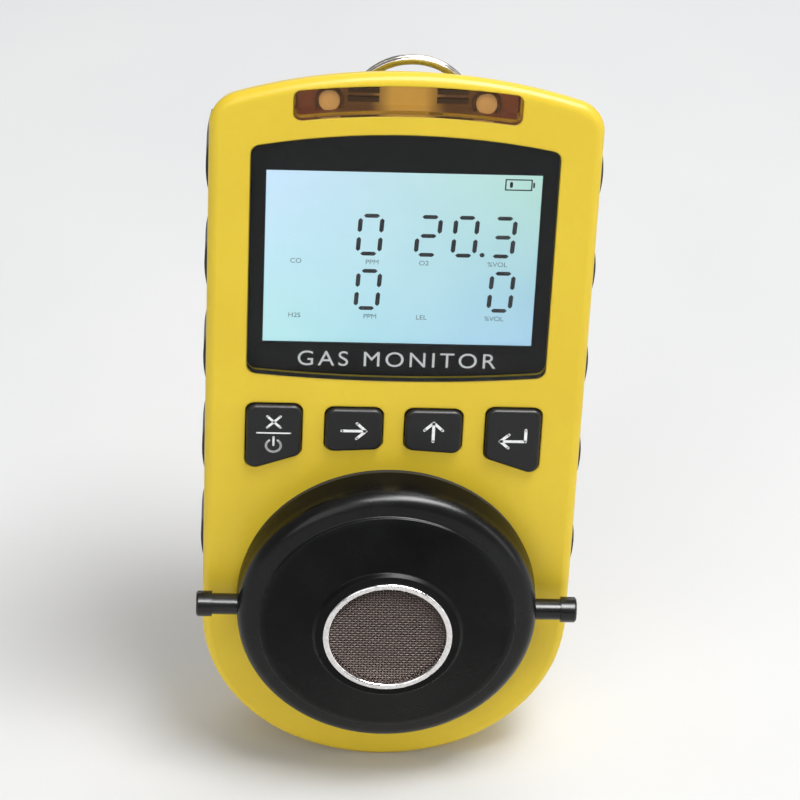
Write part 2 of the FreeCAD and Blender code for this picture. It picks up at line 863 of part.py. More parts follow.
def board_screws():
    """Four self-tapping screws that hold the main board to its posts."""
    screws = []
    for number, (x, z) in enumerate(BOARD_SCREWS):
        shank = deep_rod(f"board_shank_{number}", ("board_depth", f"{BOARD_FRONT} + 2.6"), "0.8", x, z)
        head = deep_rod(f"board_head_{number}", ("board_depth - 1", "board_depth"), "1.6", x, z)
        screws.append(fused(f"board_screw_{number}", [shank, head]))
    return group("board_screws", screws)


def buzzer():
    """Round sounder with its port in the middle."""
    can = deep_rod("buzzer_can", ("board_depth - 3.8", "board_depth"), "6", "-13", "motor_z")
    port = deep_rod("buzzer_port", ("board_depth - 4", "board_depth - 3"), "1", "-13", "motor_z")
    return cut("buzzer", can, [port])


def vibration_motor():
    """Motor can in a saddle on the back of the main board, bored for its shaft."""
    centre = ("-motor_depth", "motor_z")
    can = rod("motor_can", "x", ("motor_back", "motor_front"), "motor_radius", centre)
    saddle_x = ("motor_back + 1", "motor_front - 1")
    saddle_z = ("motor_z - 2.4", "motor_z + 2.4")
    saddle = deep_block("motor_saddle", saddle_x, ("motor_depth", "board_depth"), saddle_z)
    bore = rod("motor_bore", "x", ("motor_back + 5", "motor_front + 1"), "0.6", centre)
    return cut("vibration_motor", fused("motor_solid", [can, saddle]), [bore])


def motor_weight():
    """Half-round weight on the motor's shaft."""
    centre = ("-motor_depth", "motor_z")
    disc = rod("weight_disc", "x", ("motor_front + 0.4", "weight_end"), "2.7", centre)
    half_y = ("-motor_depth - 3", "-motor_depth + 3")
    half = block("weight_half", ("motor_front", "weight_end + 1"), half_y, ("motor_z - 3", "motor_z + 0.3"))
    shaft = rod("weight_shaft", "x", ("motor_back + 6", "weight_end"), "0.5", centre)
    return fused("motor_weight", [overlap("weight_sector", [disc, half]), shaft])


def battery_cell():
    """Flat rechargeable cell with rounded long edges."""
    return plate(
        "battery_cell",
        rectangle("battery_half", "battery_bottom", "battery_top"),
        "battery_back",
        "battery_front",
        "1.5",
    )


def battery_tray():
    """Open tray that glues the cell to the inside of the back shell."""
    half = "battery_half + tray_wall"
    z = ("battery_bottom - tray_wall", "battery_top + tray_wall")
    tray = deep_block("tray_block", (f"-({half})", half), ("wall", "battery_front - 2"), z)
    pocket = plate(
        "tray_pocket",
        rectangle("battery_half", "battery_bottom", "battery_top"),
        "battery_back",
        "battery_front",
        "1.5",
    )
    return cut("battery_tray", tray, [pocket])


def sensor_board():
    """Round board behind the four sensors."""
    depth = (f"{SENSOR_BACK} - board_thickness", SENSOR_BACK)
    return deep_rod("sensor_board", depth, "24", "0", "hood_z")


def board_connector():
    """Header that joins the sensor board to the main board."""
    return deep_block("board_connector", ("-6", "6"), (SENSOR_BACK, "board_depth"), ("-11.8", "-9.6"))


def sensor_places():
    """Name, x and z of each sensor."""
    return [
        ("sensor_co", "-sensor_pitch", "hood_z + sensor_pitch", "2.2"),
        ("sensor_o2", "sensor_pitch", "hood_z + sensor_pitch", "1.2"),
        ("sensor_h2s", "-sensor_pitch", "hood_z - sensor_pitch", "2.2"),
        ("sensor_lel", "sensor_pitch", "hood_z - sensor_pitch", "5"),
    ]


def sensor(label, x, z, inlet):
    """Sensor can with a shallow inlet in its face."""
    can = deep_rod(label + "_can", (SENSOR_BACK, "sensor_face"), "sensor_radius", x, z)
    mouth = deep_rod(label + "_inlet", ("sensor_face - 0.8", "sensor_face + 1"), inlet, x, z)
    return cut(label, can, [mouth])


def sensor_carrier():
    """Stepped disc that fills the opening in the face and guides the sensors."""
    flange = deep_rod("carrier_flange", ("20", SHELL_INSIDE), "24.5", "0", "hood_z")
    spigot = deep_rod("carrier_spigot", ("22", "25.2"), "chamber_radius - 0.1", "0", "hood_z")
    holes = [
        deep_rod(name + "_guide", ("19", "26"), "sensor_radius + 0.1", x, z)
        for name, x, z, inlet in sensor_places()
    ]
    return cut("sensor_carrier", fused("carrier_solid", [flange, spigot]), holes)


def sensor_gasket():
    """Foam disc over the carrier with a window for each sensor."""
    disc = deep_rod("gasket_disc", ("25.2", "25.8"), "chamber_radius - 0.2", "0", "hood_z")
    windows = [
        deep_rod(name + "_window", ("25", "26"), "sensor_radius - 1.3", x, z)
        for name, x, z, inlet in sensor_places()
    ]
    return cut("sensor_gasket", disc, windows)


def charging_board():
    """Board that carries the charging socket."""
    depth = ("port_depth - socket_height - port_board_thickness", "port_depth - socket_height")
    z = (f"{PORT_END} + 1.2", f"{PORT_END} + 1.2 + port_board_length")
    return deep_block("charging_board", ("-7", "7"), depth, z)


def charging_socket():
    """Flat metal socket shell with a contact tongue inside."""
    back_z = f"{PORT_END} + socket_length"
    shell_depth = ("port_depth - socket_height", "port_depth + socket_height")
    shell = deep_block("socket_block", ("-socket_half", "socket_half"), shell_depth, (PORT_END, back_z))
    mouth_half = "socket_half - socket_sheet"
    mouth_height = "socket_height - socket_sheet"
    mouth = deep_block(
        "socket_mouth",
        (f"-({mouth_half})", mouth_half),
        (f"port_depth - ({mouth_height})", f"port_depth + {mouth_height}"),
        (f"{PORT_END} - 1", f"{back_z} - 1"),
    )
    tongue_depth = ("port_depth - 0.35", "port_depth + 0.35")
    tongue_z = (f"{PORT_END} + 1.4", f"{back_z} - 0.5")
    tongue = deep_block("socket_tongue", ("-3.3", "3.3"), tongue_depth, tongue_z)
    return fused("charging_socket", [cut("socket_shell", shell, [mouth]), tongue])


def port_flap():
    """Rubber flap flush with the round bottom, with a plug that enters the socket."""
    lid = deep_block(
        "flap_block",
        ("-flap_half", "flap_half"),
        ("port_depth - 3.8", "port_depth + 3.8"),
        ("-case_height / 2", "flap_recess - case_height / 2"),
    )
    round_toe = deep_rod("flap_round", ("0", "case_depth"), "toe_radius", "0", TOE_CENTRE_Z)
    plug_z = ("flap_recess - case_height / 2 - 0.2", f"{PORT_END} + 0.2")
    plug = deep_block("flap_plug", ("-3.6", "3.6"), ("port_depth - 1", "port_depth + 1"), plug_z)
    return fused("port_flap", [overlap("flap_lid", [lid, round_toe]), plug])


# ------------------------------------------------------------------- gas hood


def gas_hood():
    """Round cap over the sensors with a side hole for each hose barb."""
    profile = [
        ("0.8", "hood_bore"),
        ("0.8", "hood_radius"),
        ("hood_shoulder - hood_edge", "hood_radius", "hood_edge"),
        ("hood_shoulder", "hood_radius - hood_edge"),
        ("8.1", "hood_radius - 2.6"),
        ("9.1", "hood_radius - 3.1"),
        ("9.6", "hood_radius - 3.9"),
        ("hood_height - 0.7", "ring_outer + 1.6"),
        ("hood_height", "ring_outer + 1"),
        ("hood_height", "ring_outer"),
        ("hood_seat", "ring_outer"),
        ("hood_seat", "ring_inner - 0.9"),
        ("hood_seat - 1.6", "ring_inner - 0.9"),
        ("6.8", "21.5"),
        ("6.3", "hood_bore"),
    ]
    cap = turned_about_y("hood_cap", profile)
    y = "-(case_depth + barb_height)"
    holes = [
        rod("left_hole", "x", ("-hood_radius - 1", "-hood_bore + 2"), "tube_radius", (y, "hood_z")),
        rod("right_hole", "x", ("hood_bore - 2", "hood_radius + 1"), "tube_radius", (y, "hood_z")),
    ]
    return cut("gas_hood", cap, holes)


def hood_seal():
    """Flat rubber ring under the hood's rim."""
    inner = "hood_bore + 0.2"
    outer = "hood_radius - 0.3"
    return turned_about_y("hood_seal", [("0", inner), ("0", outer), ("0.8", outer), ("0.8", inner)])


def dust_filter():
    """Thin membrane on the seat under the mesh."""
    disc = ("case_depth + hood_seat", "case_depth + hood_seat + filter_thickness")
    return deep_rod("dust_filter", disc, "ring_outer - 0.1", "0", "hood_z")


def mesh_disc():
    """Steel mesh over the membrane."""
    back = "case_depth + hood_seat + filter_thickness"
    return deep_rod("mesh_disc", (back, f"{back} + mesh_thickness"), "ring_outer - 0.1", "0", "hood_z")


def mesh_ring():
    """Bright ring pressed into the hood over the mesh."""
    low = "hood_seat + filter_thickness + mesh_thickness"
    top = "hood_height + 0.4"
    profile = [
        (low, "ring_inner"),
        (low, "ring_outer"),
        (f"{top} - 0.35", "ring_outer", "0.35"),
        (top, "ring_outer - 0.35"),
        (top, "ring_inner + 0.35", "0.35"),
        (f"{top} - 0.35", "ring_inner"),
    ]
    return turned_about_y("mesh_ring", profile)


def hose_barb(label, side):
    """Hollow stub with a collar at its tip for the gas hose."""
    body = new_body(label)
    sketch = sketch_on(body, "XZ_Plane", label + "_profile", offset="case_depth + barb_height", up="hood_z")
    corners = [
        ("hood_bore + 0.2", "tube_bore"),
        ("barb_tip", "tube_bore"),
        ("barb_tip", "barb_radius - 0.3"),
        ("barb_tip - 0.3", "barb_radius"),
        ("barb_tip - 0.3 - barb_collar", "barb_radius"),
        ("barb_tip - 0.3 - barb_collar", "tube_radius"),
        ("hood_bore + 0.2", "tube_radius"),
    ]
    outline(sketch, corners if side > 0 else mirrored(corners))
    revolve(body, sketch)
    return body


# ------------------------------------------------------ belt clip and lanyard


BRACKET_SCREWS = [("0", "17"), ("0", "-18"), ("-4.8", "ring_z"), ("4.8", "ring_z")]


def side_profile(label, corners, half_width):
    """Piece with an outline in y and z, centred on the mid-plane."""
    body = new_body(label)
    sketch = sketch_on(body, "YZ_Plane", label + "_profile")
    outline(sketch, corners)
    pad(body, sketch, f"2 * ({half_width})", symmetric=True)
    return body


def clip_base():
    """Steel plate on the back with two ears for the pivot pin."""
    half = "clip_half + 2"
    plate_z = ("clip_bottom", "clip_top")
    base_plate = block("clip_plate_blank", (f"-({half})", half), ("0", "clip_plate"), plate_z)
    ears = []
    for side in (-1, 1):
        near, far = sorted((side * 0.3, side * 1.8))
        x = (f"{side} * clip_half + {near}", f"{side} * clip_half + {far}")
        wall_z = ("pivot_z - ear_radius", "pivot_z + ear_radius")
        ears.append(block(f"ear_wall_{side + 1}", x, ("clip_plate - 0.5", "pivot_y"), wall_z))
        ears.append(rod(f"ear_eye_{side + 1}", "x", x, "ear_radius", ("pivot_y", "pivot_z")))
    tools = [rod("ear_bore", "x", ("-20", "20"), "pin_radius", ("pivot_y", "pivot_z"))]
    for number, (x, z) in enumerate(BRACKET_SCREWS[:2]):
        tools.append(rod(f"clip_hole_{number}", "y", ("-1", "3"), "1.2", (x, z)))
    return cut("clip_base", fused("clip_solid", [base_plate, *ears]), tools)


def clip_lever():
    """Sprung lever: thumb end above the pivot, jaw below, ears around the pin."""
    corners = [
        ("clip_plate + 0.1", "-25"),
        ("clip_plate + 2.2", "-28.5"),
        ("clip_plate + 3.6", "-28.2"),
        ("clip_plate + 1.9", "-24.6"),
        ("lever_gap + 1.4", "-13"),
        ("lever_gap + 1.4", "13"),
        ("lever_gap + 4", "26.5"),
        ("lever_gap + 3.6", "28"),
        ("lever_gap + 2.4", "27.4"),
        ("lever_gap", "13.2"),
        ("lever_gap", "-12.4"),
    ]
    blade = side_profile("lever_blade", corners, "clip_half")
    ears = []
    for side in (-1, 1):
        span = ("-clip_half", "1.4 - clip_half") if side < 0 else ("clip_half - 1.4", "clip_half")
        wall_z = ("pivot_z - 2.4", "pivot_z + 2.4")
        ears.append(block(f"lever_wall_{side + 1}", span, ("pivot_y", "lever_gap + 0.5"), wall_z))
        ears.append(rod(f"lever_eye_{side + 1}", "x", span, "2.4", ("pivot_y", "pivot_z")))
    bore = rod("lever_bore", "x", ("-20", "20"), "pin_radius + 0.08", ("pivot_y", "pivot_z"))
    return cut("clip_lever", fused("lever_solid", [blade, *ears]), [bore])


def clip_pin():
    """Pivot pin through both pairs of ears."""
    reach = "clip_half + 2.3"
    return rod("clip_pin", "x", (f"-({reach})", reach), "pin_radius", ("pivot_y", "pivot_z"))


def clip_spring():
    """Coils of the torsion spring around the pin, with one leg on the base."""
    coil = rod("spring_coil", "x", ("-6", "6"), "2.1", ("pivot_y", "pivot_z"))
    leg = block("spring_leg", ("-6", "-5"), ("clip_plate", "clip_plate + 1"), ("pivot_z - 7", "pivot_z"))
    rise = block("spring_rise", ("-6", "-5"), ("clip_plate", "pivot_y"), ("pivot_z - 1.2", "pivot_z"))
    bore = rod("spring_bore", "x", ("-7", "7"), "pin_radius", ("pivot_y", "pivot_z"))
    return cut("clip_spring", fused("spring_solid", [coil, leg, rise]), [bore])


def ring_lug():
    """Bracket on the back with an eye for the lanyard ring."""
    foot = block("lug_foot", ("-7", "7"), ("0", "1.2"), ("ring_z - 3.4", "ring_z + 3.4"))
    fin_outline = [
        ("0.6", "ring_z - lug_round"),
        ("ring_y", "ring_z - lug_round", "lug_round"),
        ("ring_y + lug_round", "ring_z", "lug_round"),
        ("ring_y", "ring_z + lug_round"),
        ("0.6", "ring_z + lug_round"),
    ]
    fin = side_profile("lug_fin", fin_outline, "1.4")
    bore = rod("lug_bore", "x", ("-2", "2"), "lug_hole", ("ring_y", "ring_z"))
    tools = [bore]
    for number, place in enumerate(BRACKET_SCREWS[2:]):
        tools.append(rod(f"lug_screw_hole_{number}", "y", ("-1", "3"), "1.2", place))
    return cut("ring_lug", fused("lug_solid", [foot, fin]), tools)


def bracket_screws():
    """Screws that hold the clip base and the lanyard bracket to the back shell."""
    seats = ["clip_plate", "clip_plate", "1.2", "1.2"]
    screws = []
    for number, ((x, z), seat) in enumerate(zip(BRACKET_SCREWS, seats)):
        shank = rod(f"bracket_shank_{number}", "y", ("-1.9", seat), "1.2", (x, z))
        head = rod(f"bracket_head_{number}", "y", (seat, f"{seat} + 0.8"), "1.9", (x, z))
        screws.append(fused(f"bracket_screw_{number}", [shank, head]))
    return group("bracket_screws", screws)


def lanyard_ring():
    """Steel ring through the bracket's eye, standing up behind the case and leaning to one side."""
    ring = doc.addObject("Part::Torus", "lanyard_ring")
    ring.Placement = FreeCAD.Placement(Vector(), TURN_ALONG["y"])
    bind(ring, "Radius1", "ring_radius")
    bind(ring, "Radius2", "wire_radius")
    bind(ring, "Placement.Base.y", "ring_y")
    bind(ring, "Placement.Base.x", "ring_radius * sin(ring_lean)")
    bind(ring, "Placement.Base.z", "ring_z + ring_radius * cos(ring_lean)")
    return ring


# ------------------------------------------------------------------ all nodes


def make_nodes():
    """Every sub-part, in the order of assembly."""
    nodes = [
        front_shell(),
        back_shell(),
        case_seal(),
        side_grip("side_grip_left", -1),
        side_grip("side_grip_right", 1),
        threaded_inserts(),
        case_screws(),
        label_plate(),
        display_window(),
        display_bezel(),
        screen_layer("lcd_glass", GLASS_BACK, BEZEL_BACK),
        screen_layer("lcd_backlight", LIGHT_BACK, GLASS_BACK),
        lcd_holder(),
        led_lens(),
        alarm_leds(),
        led_board(),
        keypad_mat(),
        key_switches(),
        main_board(),
        board_screws(),
        buzzer(),
        vibration_motor(),
        motor_weight(),
        battery_cell(),
        battery_tray(),
        deep_block("battery_contacts", ("-5", "5"), ("battery_front", "board_depth"), ("40", "46")),
        sensor_board(),
        board_connector(),
        sensor_carrier(),
        sensor_gasket(),
        charging_board(),
        charging_socket(),
        port_flap(),
        gas_hood(),
        hood_seal(),
        dust_filter(),
        mesh_disc(),
        mesh_ring(),
        hose_barb("hose_barb_left", -1),
        hose_barb("hose_barb_right", 1),
        clip_base(),
        clip_lever(),
        clip_pin(),
        clip_spring(),
        ring_lug(),
        bracket_screws(),
        lanyard_ring(),
    ]
    nodes.extend(key(name, kind, side) for name, kind, side in KEYS)
    nodes.extend(sensor(*place) for place in sensor_places())
    return nodes


def check(nodes):
    """Stop if any object failed or any sub-part isn't a sound solid."""
    for item in doc.Objects:
        if "Invalid" in item.State or "Error" in item.State:
            raise RuntimeError(f"{item.Label} failed: {item.State}")
    for node in nodes:
        if node.Shape.isNull() or not node.Shape.isValid() or not node.Shape.Solids:
            raise RuntimeError(f"{node.Label} is not a sound solid")


def write(nodes):
    """One STEP file for each sub-part, named after it."""
    os.makedirs("parts", exist_ok=True)
    for node in nodes:
        node.Shape.exportStep(f"parts/{node.Label}.step")


all_nodes = make_nodes()
doc.recompute()
check(all_nodes)
write(all_nodes)
print(f"{len(all_nodes)} nodes written")
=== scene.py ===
"""Looks for the portable gas detector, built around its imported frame.

Lengths are in metres, in the frame's own axes: +X right, +Z up, the face looks along -Y.
MM turns the millimetre sizes of the small details into metres.
"""

import math

import bmesh
import bpy
from mathutils import Matrix, Vector


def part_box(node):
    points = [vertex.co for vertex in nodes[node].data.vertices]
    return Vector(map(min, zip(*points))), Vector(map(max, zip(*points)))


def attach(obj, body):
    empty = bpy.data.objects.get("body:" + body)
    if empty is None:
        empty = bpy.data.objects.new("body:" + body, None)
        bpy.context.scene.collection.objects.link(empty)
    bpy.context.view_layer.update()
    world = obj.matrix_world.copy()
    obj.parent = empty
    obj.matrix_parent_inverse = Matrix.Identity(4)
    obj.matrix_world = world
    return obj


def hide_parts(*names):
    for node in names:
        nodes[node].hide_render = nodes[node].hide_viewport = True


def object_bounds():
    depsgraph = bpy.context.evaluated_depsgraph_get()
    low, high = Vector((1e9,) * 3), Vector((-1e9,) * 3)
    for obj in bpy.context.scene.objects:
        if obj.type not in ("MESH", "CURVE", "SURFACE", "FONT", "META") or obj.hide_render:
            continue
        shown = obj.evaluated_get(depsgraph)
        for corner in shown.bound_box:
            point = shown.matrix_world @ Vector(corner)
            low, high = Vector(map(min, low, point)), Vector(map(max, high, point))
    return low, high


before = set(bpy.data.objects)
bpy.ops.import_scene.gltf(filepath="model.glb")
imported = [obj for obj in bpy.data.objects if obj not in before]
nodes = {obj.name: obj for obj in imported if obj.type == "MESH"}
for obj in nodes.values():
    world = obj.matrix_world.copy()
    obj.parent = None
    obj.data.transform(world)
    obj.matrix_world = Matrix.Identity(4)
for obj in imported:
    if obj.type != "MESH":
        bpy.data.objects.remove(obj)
cad_low, cad_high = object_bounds()

MM = 0.001
TURN = 2 * math.pi


# ------------------------------------------------------------------ materials


class Graph:
    """One material's node tree, with short ways to add and join nodes."""

    def __init__(self, name):
        self.material = bpy.data.materials.new(name)
        self.material.use_nodes = True
        self.tree = self.material.node_tree
        self.tree.nodes.clear()
        self.output = self.tree.nodes.new("ShaderNodeOutputMaterial")
        self.place = self.add("TexCoord").outputs["Object"]

    def add(self, kind, inputs=None, **settings):
        """New node; inputs maps socket names or numbers to values or to sockets to join."""
        node = self.tree.nodes.new("ShaderNode" + kind)
        for name, setting in settings.items():
            setattr(node, name, setting)
        for key, value in (inputs or {}).items():
            socket = node.inputs[key]
            if isinstance(value, bpy.types.NodeSocket):
                self.tree.links.new(value, socket)
            else:
                socket.default_value = value
        return node

    def noise(self, scale, detail=3.0, stretch=(1, 1, 1), rough=0.5):
        """Noise value at the object's own coordinates; scale is cycles per metre."""
        spread = self.add("Mapping", {"Vector": self.place, "Scale": stretch}).outputs[0]
        inputs = {"Vector": spread, "Scale": scale, "Detail": detail, "Roughness": rough}
        return self.add("TexNoise", inputs).outputs["Fac"]

    def spread(self, value, low, high, start=0.3, end=0.7):
        """Map a value from start..end to low..high."""
        inputs = {"Value": value, "From Min": start, "From Max": end, "To Min": low, "To Max": high}
        return self.add("MapRange", inputs).outputs[0]

    def blend(self, factor, first, second):
        """Mix two colours."""
        mix = self.add("Mix", data_type="RGBA")
        self.join(factor, mix.inputs[0])
        for value, socket in ((first, mix.inputs[6]), (second, mix.inputs[7])):
            self.join(value, socket)
        return mix.outputs[2]

    def join(self, value, socket):
        if isinstance(value, bpy.types.NodeSocket):
            self.tree.links.new(value, socket)
        else:
            socket.default_value = value

    def bump(self, height, depth, strength=1.0, edge=0.0):
        """Bump of a real depth in metres, over edges rounded to a radius."""
        inputs = {"Height": height, "Distance": depth, "Strength": strength}
        if edge:
            inputs["Normal"] = self.add("Bevel", {"Radius": edge}, samples=6).outputs[0]
        return self.add("Bump", inputs).outputs[0]

    def surface(self, **inputs):
        """Principled surface; underscores in the names stand for spaces."""
        named = {name.replace("_", " "): value for name, value in inputs.items()}
        return self.finish(self.add("BsdfPrincipled", named))

    def finish(self, shader):
        self.tree.links.new(shader.outputs[0], self.output.inputs["Surface"])
        return self.material


def rgb(red, green, blue):
    """Opaque colour from three linear parts."""
    return (red, green, blue, 1.0)


def dimmed(colour, share):
    """Opaque colour with each part at a share of its value."""
    return rgb(*[part * share for part in colour])


def grey(value):
    """Neutral colour."""
    return (value, value, value)


def moulded(name, colour, shade, roughness, grain=2600, depth=0.012, edge=0.25, shine=0.5):
    """Moulded plastic or rubber: fine spark grain, cloudy colour and uneven gloss."""
    graph = Graph(name)
    cloud = graph.spread(graph.noise(38, 4), 0, 1)
    fleck = graph.spread(graph.noise(900, 2), 0, 0.35)
    tone = graph.blend(cloud, rgb(*colour), rgb(*shade))
    tone = graph.blend(fleck, tone, dimmed(colour, 0.93))
    low, high = roughness
    gloss = graph.spread(graph.noise(160, 3), low, high)
    normal = graph.bump(graph.noise(grain, 2), depth * MM, 1.0, edge * MM)
    return graph.surface(Base_Color=tone, Roughness=gloss, Normal=normal, Specular_IOR_Level=shine)


def metal(name, colour, roughness, stretch=(1, 1, 1), grain=1500, edge=0.12, depth=0.004):
    """Metal with drawn or brushed lines along the least stretched axis."""
    graph = Graph(name)
    lines = graph.noise(grain, 3, stretch, 0.6)
    tone = graph.blend(graph.spread(lines, 0, 1), rgb(*colour), dimmed(colour, 0.72))
    low, high = roughness
    gloss = graph.spread(graph.noise(220, 3), low, high)
    normal = graph.bump(lines, depth * MM, 1.0, edge * MM)
    return graph.surface(Base_Color=tone, Metallic=1.0, Roughness=gloss, Normal=normal)


def cover(name, tint, gloss_roughness, haze, index):
    """Clear or tinted plastic cover: what is behind shows through under a Fresnel gloss."""
    graph = Graph(name)
    wave = graph.bump(graph.noise(60, 2), 0.004 * MM)
    streaks = graph.spread(graph.noise(120, 4), gloss_roughness, gloss_roughness * 2.5)
    clear = graph.add("BsdfTransparent", {"Color": rgb(*tint)})
    body = graph.add("BsdfDiffuse", {"Color": dimmed(tint, 0.5), "Normal": wave})
    inside = graph.add("MixShader", {0: haze, 1: clear.outputs[0], 2: body.outputs[0]})
    gloss = graph.add("BsdfGlossy", {"Roughness": streaks, "Normal": wave})
    fresnel = graph.add("Fresnel", {"IOR": index, "Normal": wave})
    mixed = {0: fresnel.outputs[0], 1: inside.outputs[0], 2: gloss.outputs[0]}
    return graph.finish(graph.add("MixShader", mixed))


def print_ink(name, colour, glow=0.0):
    """Printed ink with a faint screen grain."""
    graph = Graph(name)
    dots = graph.spread(graph.noise(4000, 1), 0, 1)
    tone = graph.blend(dots, rgb(*colour), dimmed(colour, 0.9))
    normal = graph.bump(tone, 0.002 * MM)
    return graph.surface(
        Base_Color=tone, Roughness=0.5, Emission_Color=tone, Emission_Strength=glow, Normal=normal
    )


def screen_glow():
    """Backlit colour screen: blue at the top left, greener at the top right, cyan at the bottom left."""
    low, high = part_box("lcd_glass")
    graph = Graph("screen_glow")
    axes = graph.add("SeparateXYZ", {0: graph.place}).outputs
    across = graph.add("MapRange", {"Value": axes["X"], "From Min": low.x, "From Max": high.x}).outputs[0]
    up = graph.add("MapRange", {"Value": axes["Z"], "From Min": low.z, "From Max": high.z}).outputs[0]
    top = graph.blend(across, rgb(0.57, 0.76, 0.99), rgb(0.42, 0.70, 0.58))
    bottom = graph.blend(across, rgb(0.43, 0.79, 0.80), rgb(0.31, 0.55, 0.78))
    tone = graph.blend(up, bottom, top)
    mottle = graph.spread(graph.noise(60, 3), 0.0, 0.12)
    tone = graph.blend(mottle, tone, rgb(0.75, 0.95, 0.97))
    dots = graph.bump(graph.noise(5000, 1), 0.002 * MM)
    glass = rgb(0.05, 0.06, 0.06)
    return graph.surface(
        Base_Color=glass, Roughness=0.3, Emission_Color=tone, Emission_Strength=1.0, Normal=dots
    )


def reflector_painted_glow():
    """Reflector behind the smoky lens: pale tan in the middle, brown outside, plum at the ends; it glows with
    its own colours as painted light, though it is no lamp.
    """
    graph = Graph("lamp_reflector")
    across = graph.add("SeparateXYZ", {0: graph.place}).outputs["X"]
    away = graph.add("Math", {0: across}, operation="ABSOLUTE").outputs[0]
    outside = graph.spread(away, 0, 1, 2.6 * MM, 6.0 * MM)
    end = graph.spread(away, 0, 1, 12.0 * MM, 14.5 * MM)
    streak = graph.spread(graph.noise(240, 3, (1, 1, 3)), 0, 0.3)
    middle = graph.blend(streak, rgb(0.70, 0.52, 0.15), rgb(0.58, 0.43, 0.12))
    tone = graph.blend(outside, middle, rgb(0.16, 0.082, 0.035))
    tone = graph.blend(end, tone, rgb(0.19, 0.06, 0.035))
    # The emission repeats the reflector's colours: painted light, as the reflector is no lamp.
    return graph.surface(Base_Color=tone, Roughness=0.5, Emission_Color=tone, Emission_Strength=0.5)


def hood_plastic():
    """Black plastic: dull wall and face with a polished shoulder between them."""
    graph = Graph("hood_plastic")
    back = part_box("gas_hood")[1].y
    depth = graph.add("SeparateXYZ", {0: graph.place}).outputs["Y"]
    shoulder = graph.spread(depth, 0, 1, back - 4.2 * MM, back - 5.4 * MM)
    face = graph.spread(depth, 0, 1, back - 8.0 * MM, back - 8.9 * MM)
    polished = graph.add("Math", {0: shoulder, 1: face}, operation="SUBTRACT").outputs[0]
    shine = graph.spread(polished, 0.08, 0.22, 0, 1)
    cloud = graph.spread(graph.noise(160, 3), 0, 1)
    tone = graph.blend(cloud, rgb(*grey(0.004)), rgb(*grey(0.006)))
    gloss = graph.spread(cloud, 0.22, 0.3, 0, 1)
    normal = graph.bump(graph.noise(1800, 2), 0.003 * MM)
    return graph.surface(Base_Color=tone, Roughness=gloss, Normal=normal, Specular_IOR_Level=shine)


def circuit_board(name, mask, copper):
    """Solder mask with lighter tracks running along a square grid."""
    graph = Graph(name)
    inputs = {"Vector": graph.place, "Scale": 420, "Randomness": 0.55}
    cells = graph.add("TexVoronoi", inputs, distance="CHEBYCHEV")
    tracks = graph.spread(cells.outputs["Distance"], 0, 1, 0.40, 0.46)
    tone = graph.blend(tracks, rgb(*mask), rgb(*copper))
    normal = graph.bump(tracks, 0.03 * MM, 0.6, 0.1 * MM)
    return graph.surface(Base_Color=tone, Roughness=0.35, Normal=normal, Coat_Weight=0.3)


def foam(name, colour):
    """Open foam or felt with small pores."""
    graph = Graph(name)
    pores = graph.add("TexVoronoi", {"Vector": graph.place, "Scale": 1600}).outputs["Distance"]
    tone = graph.blend(graph.spread(pores, 0, 1, 0, 0.6), dimmed(colour, 0.45), rgb(*colour))
    return graph.surface(Base_Color=tone, Roughness=0.9, Normal=graph.bump(pores, 0.08 * MM))


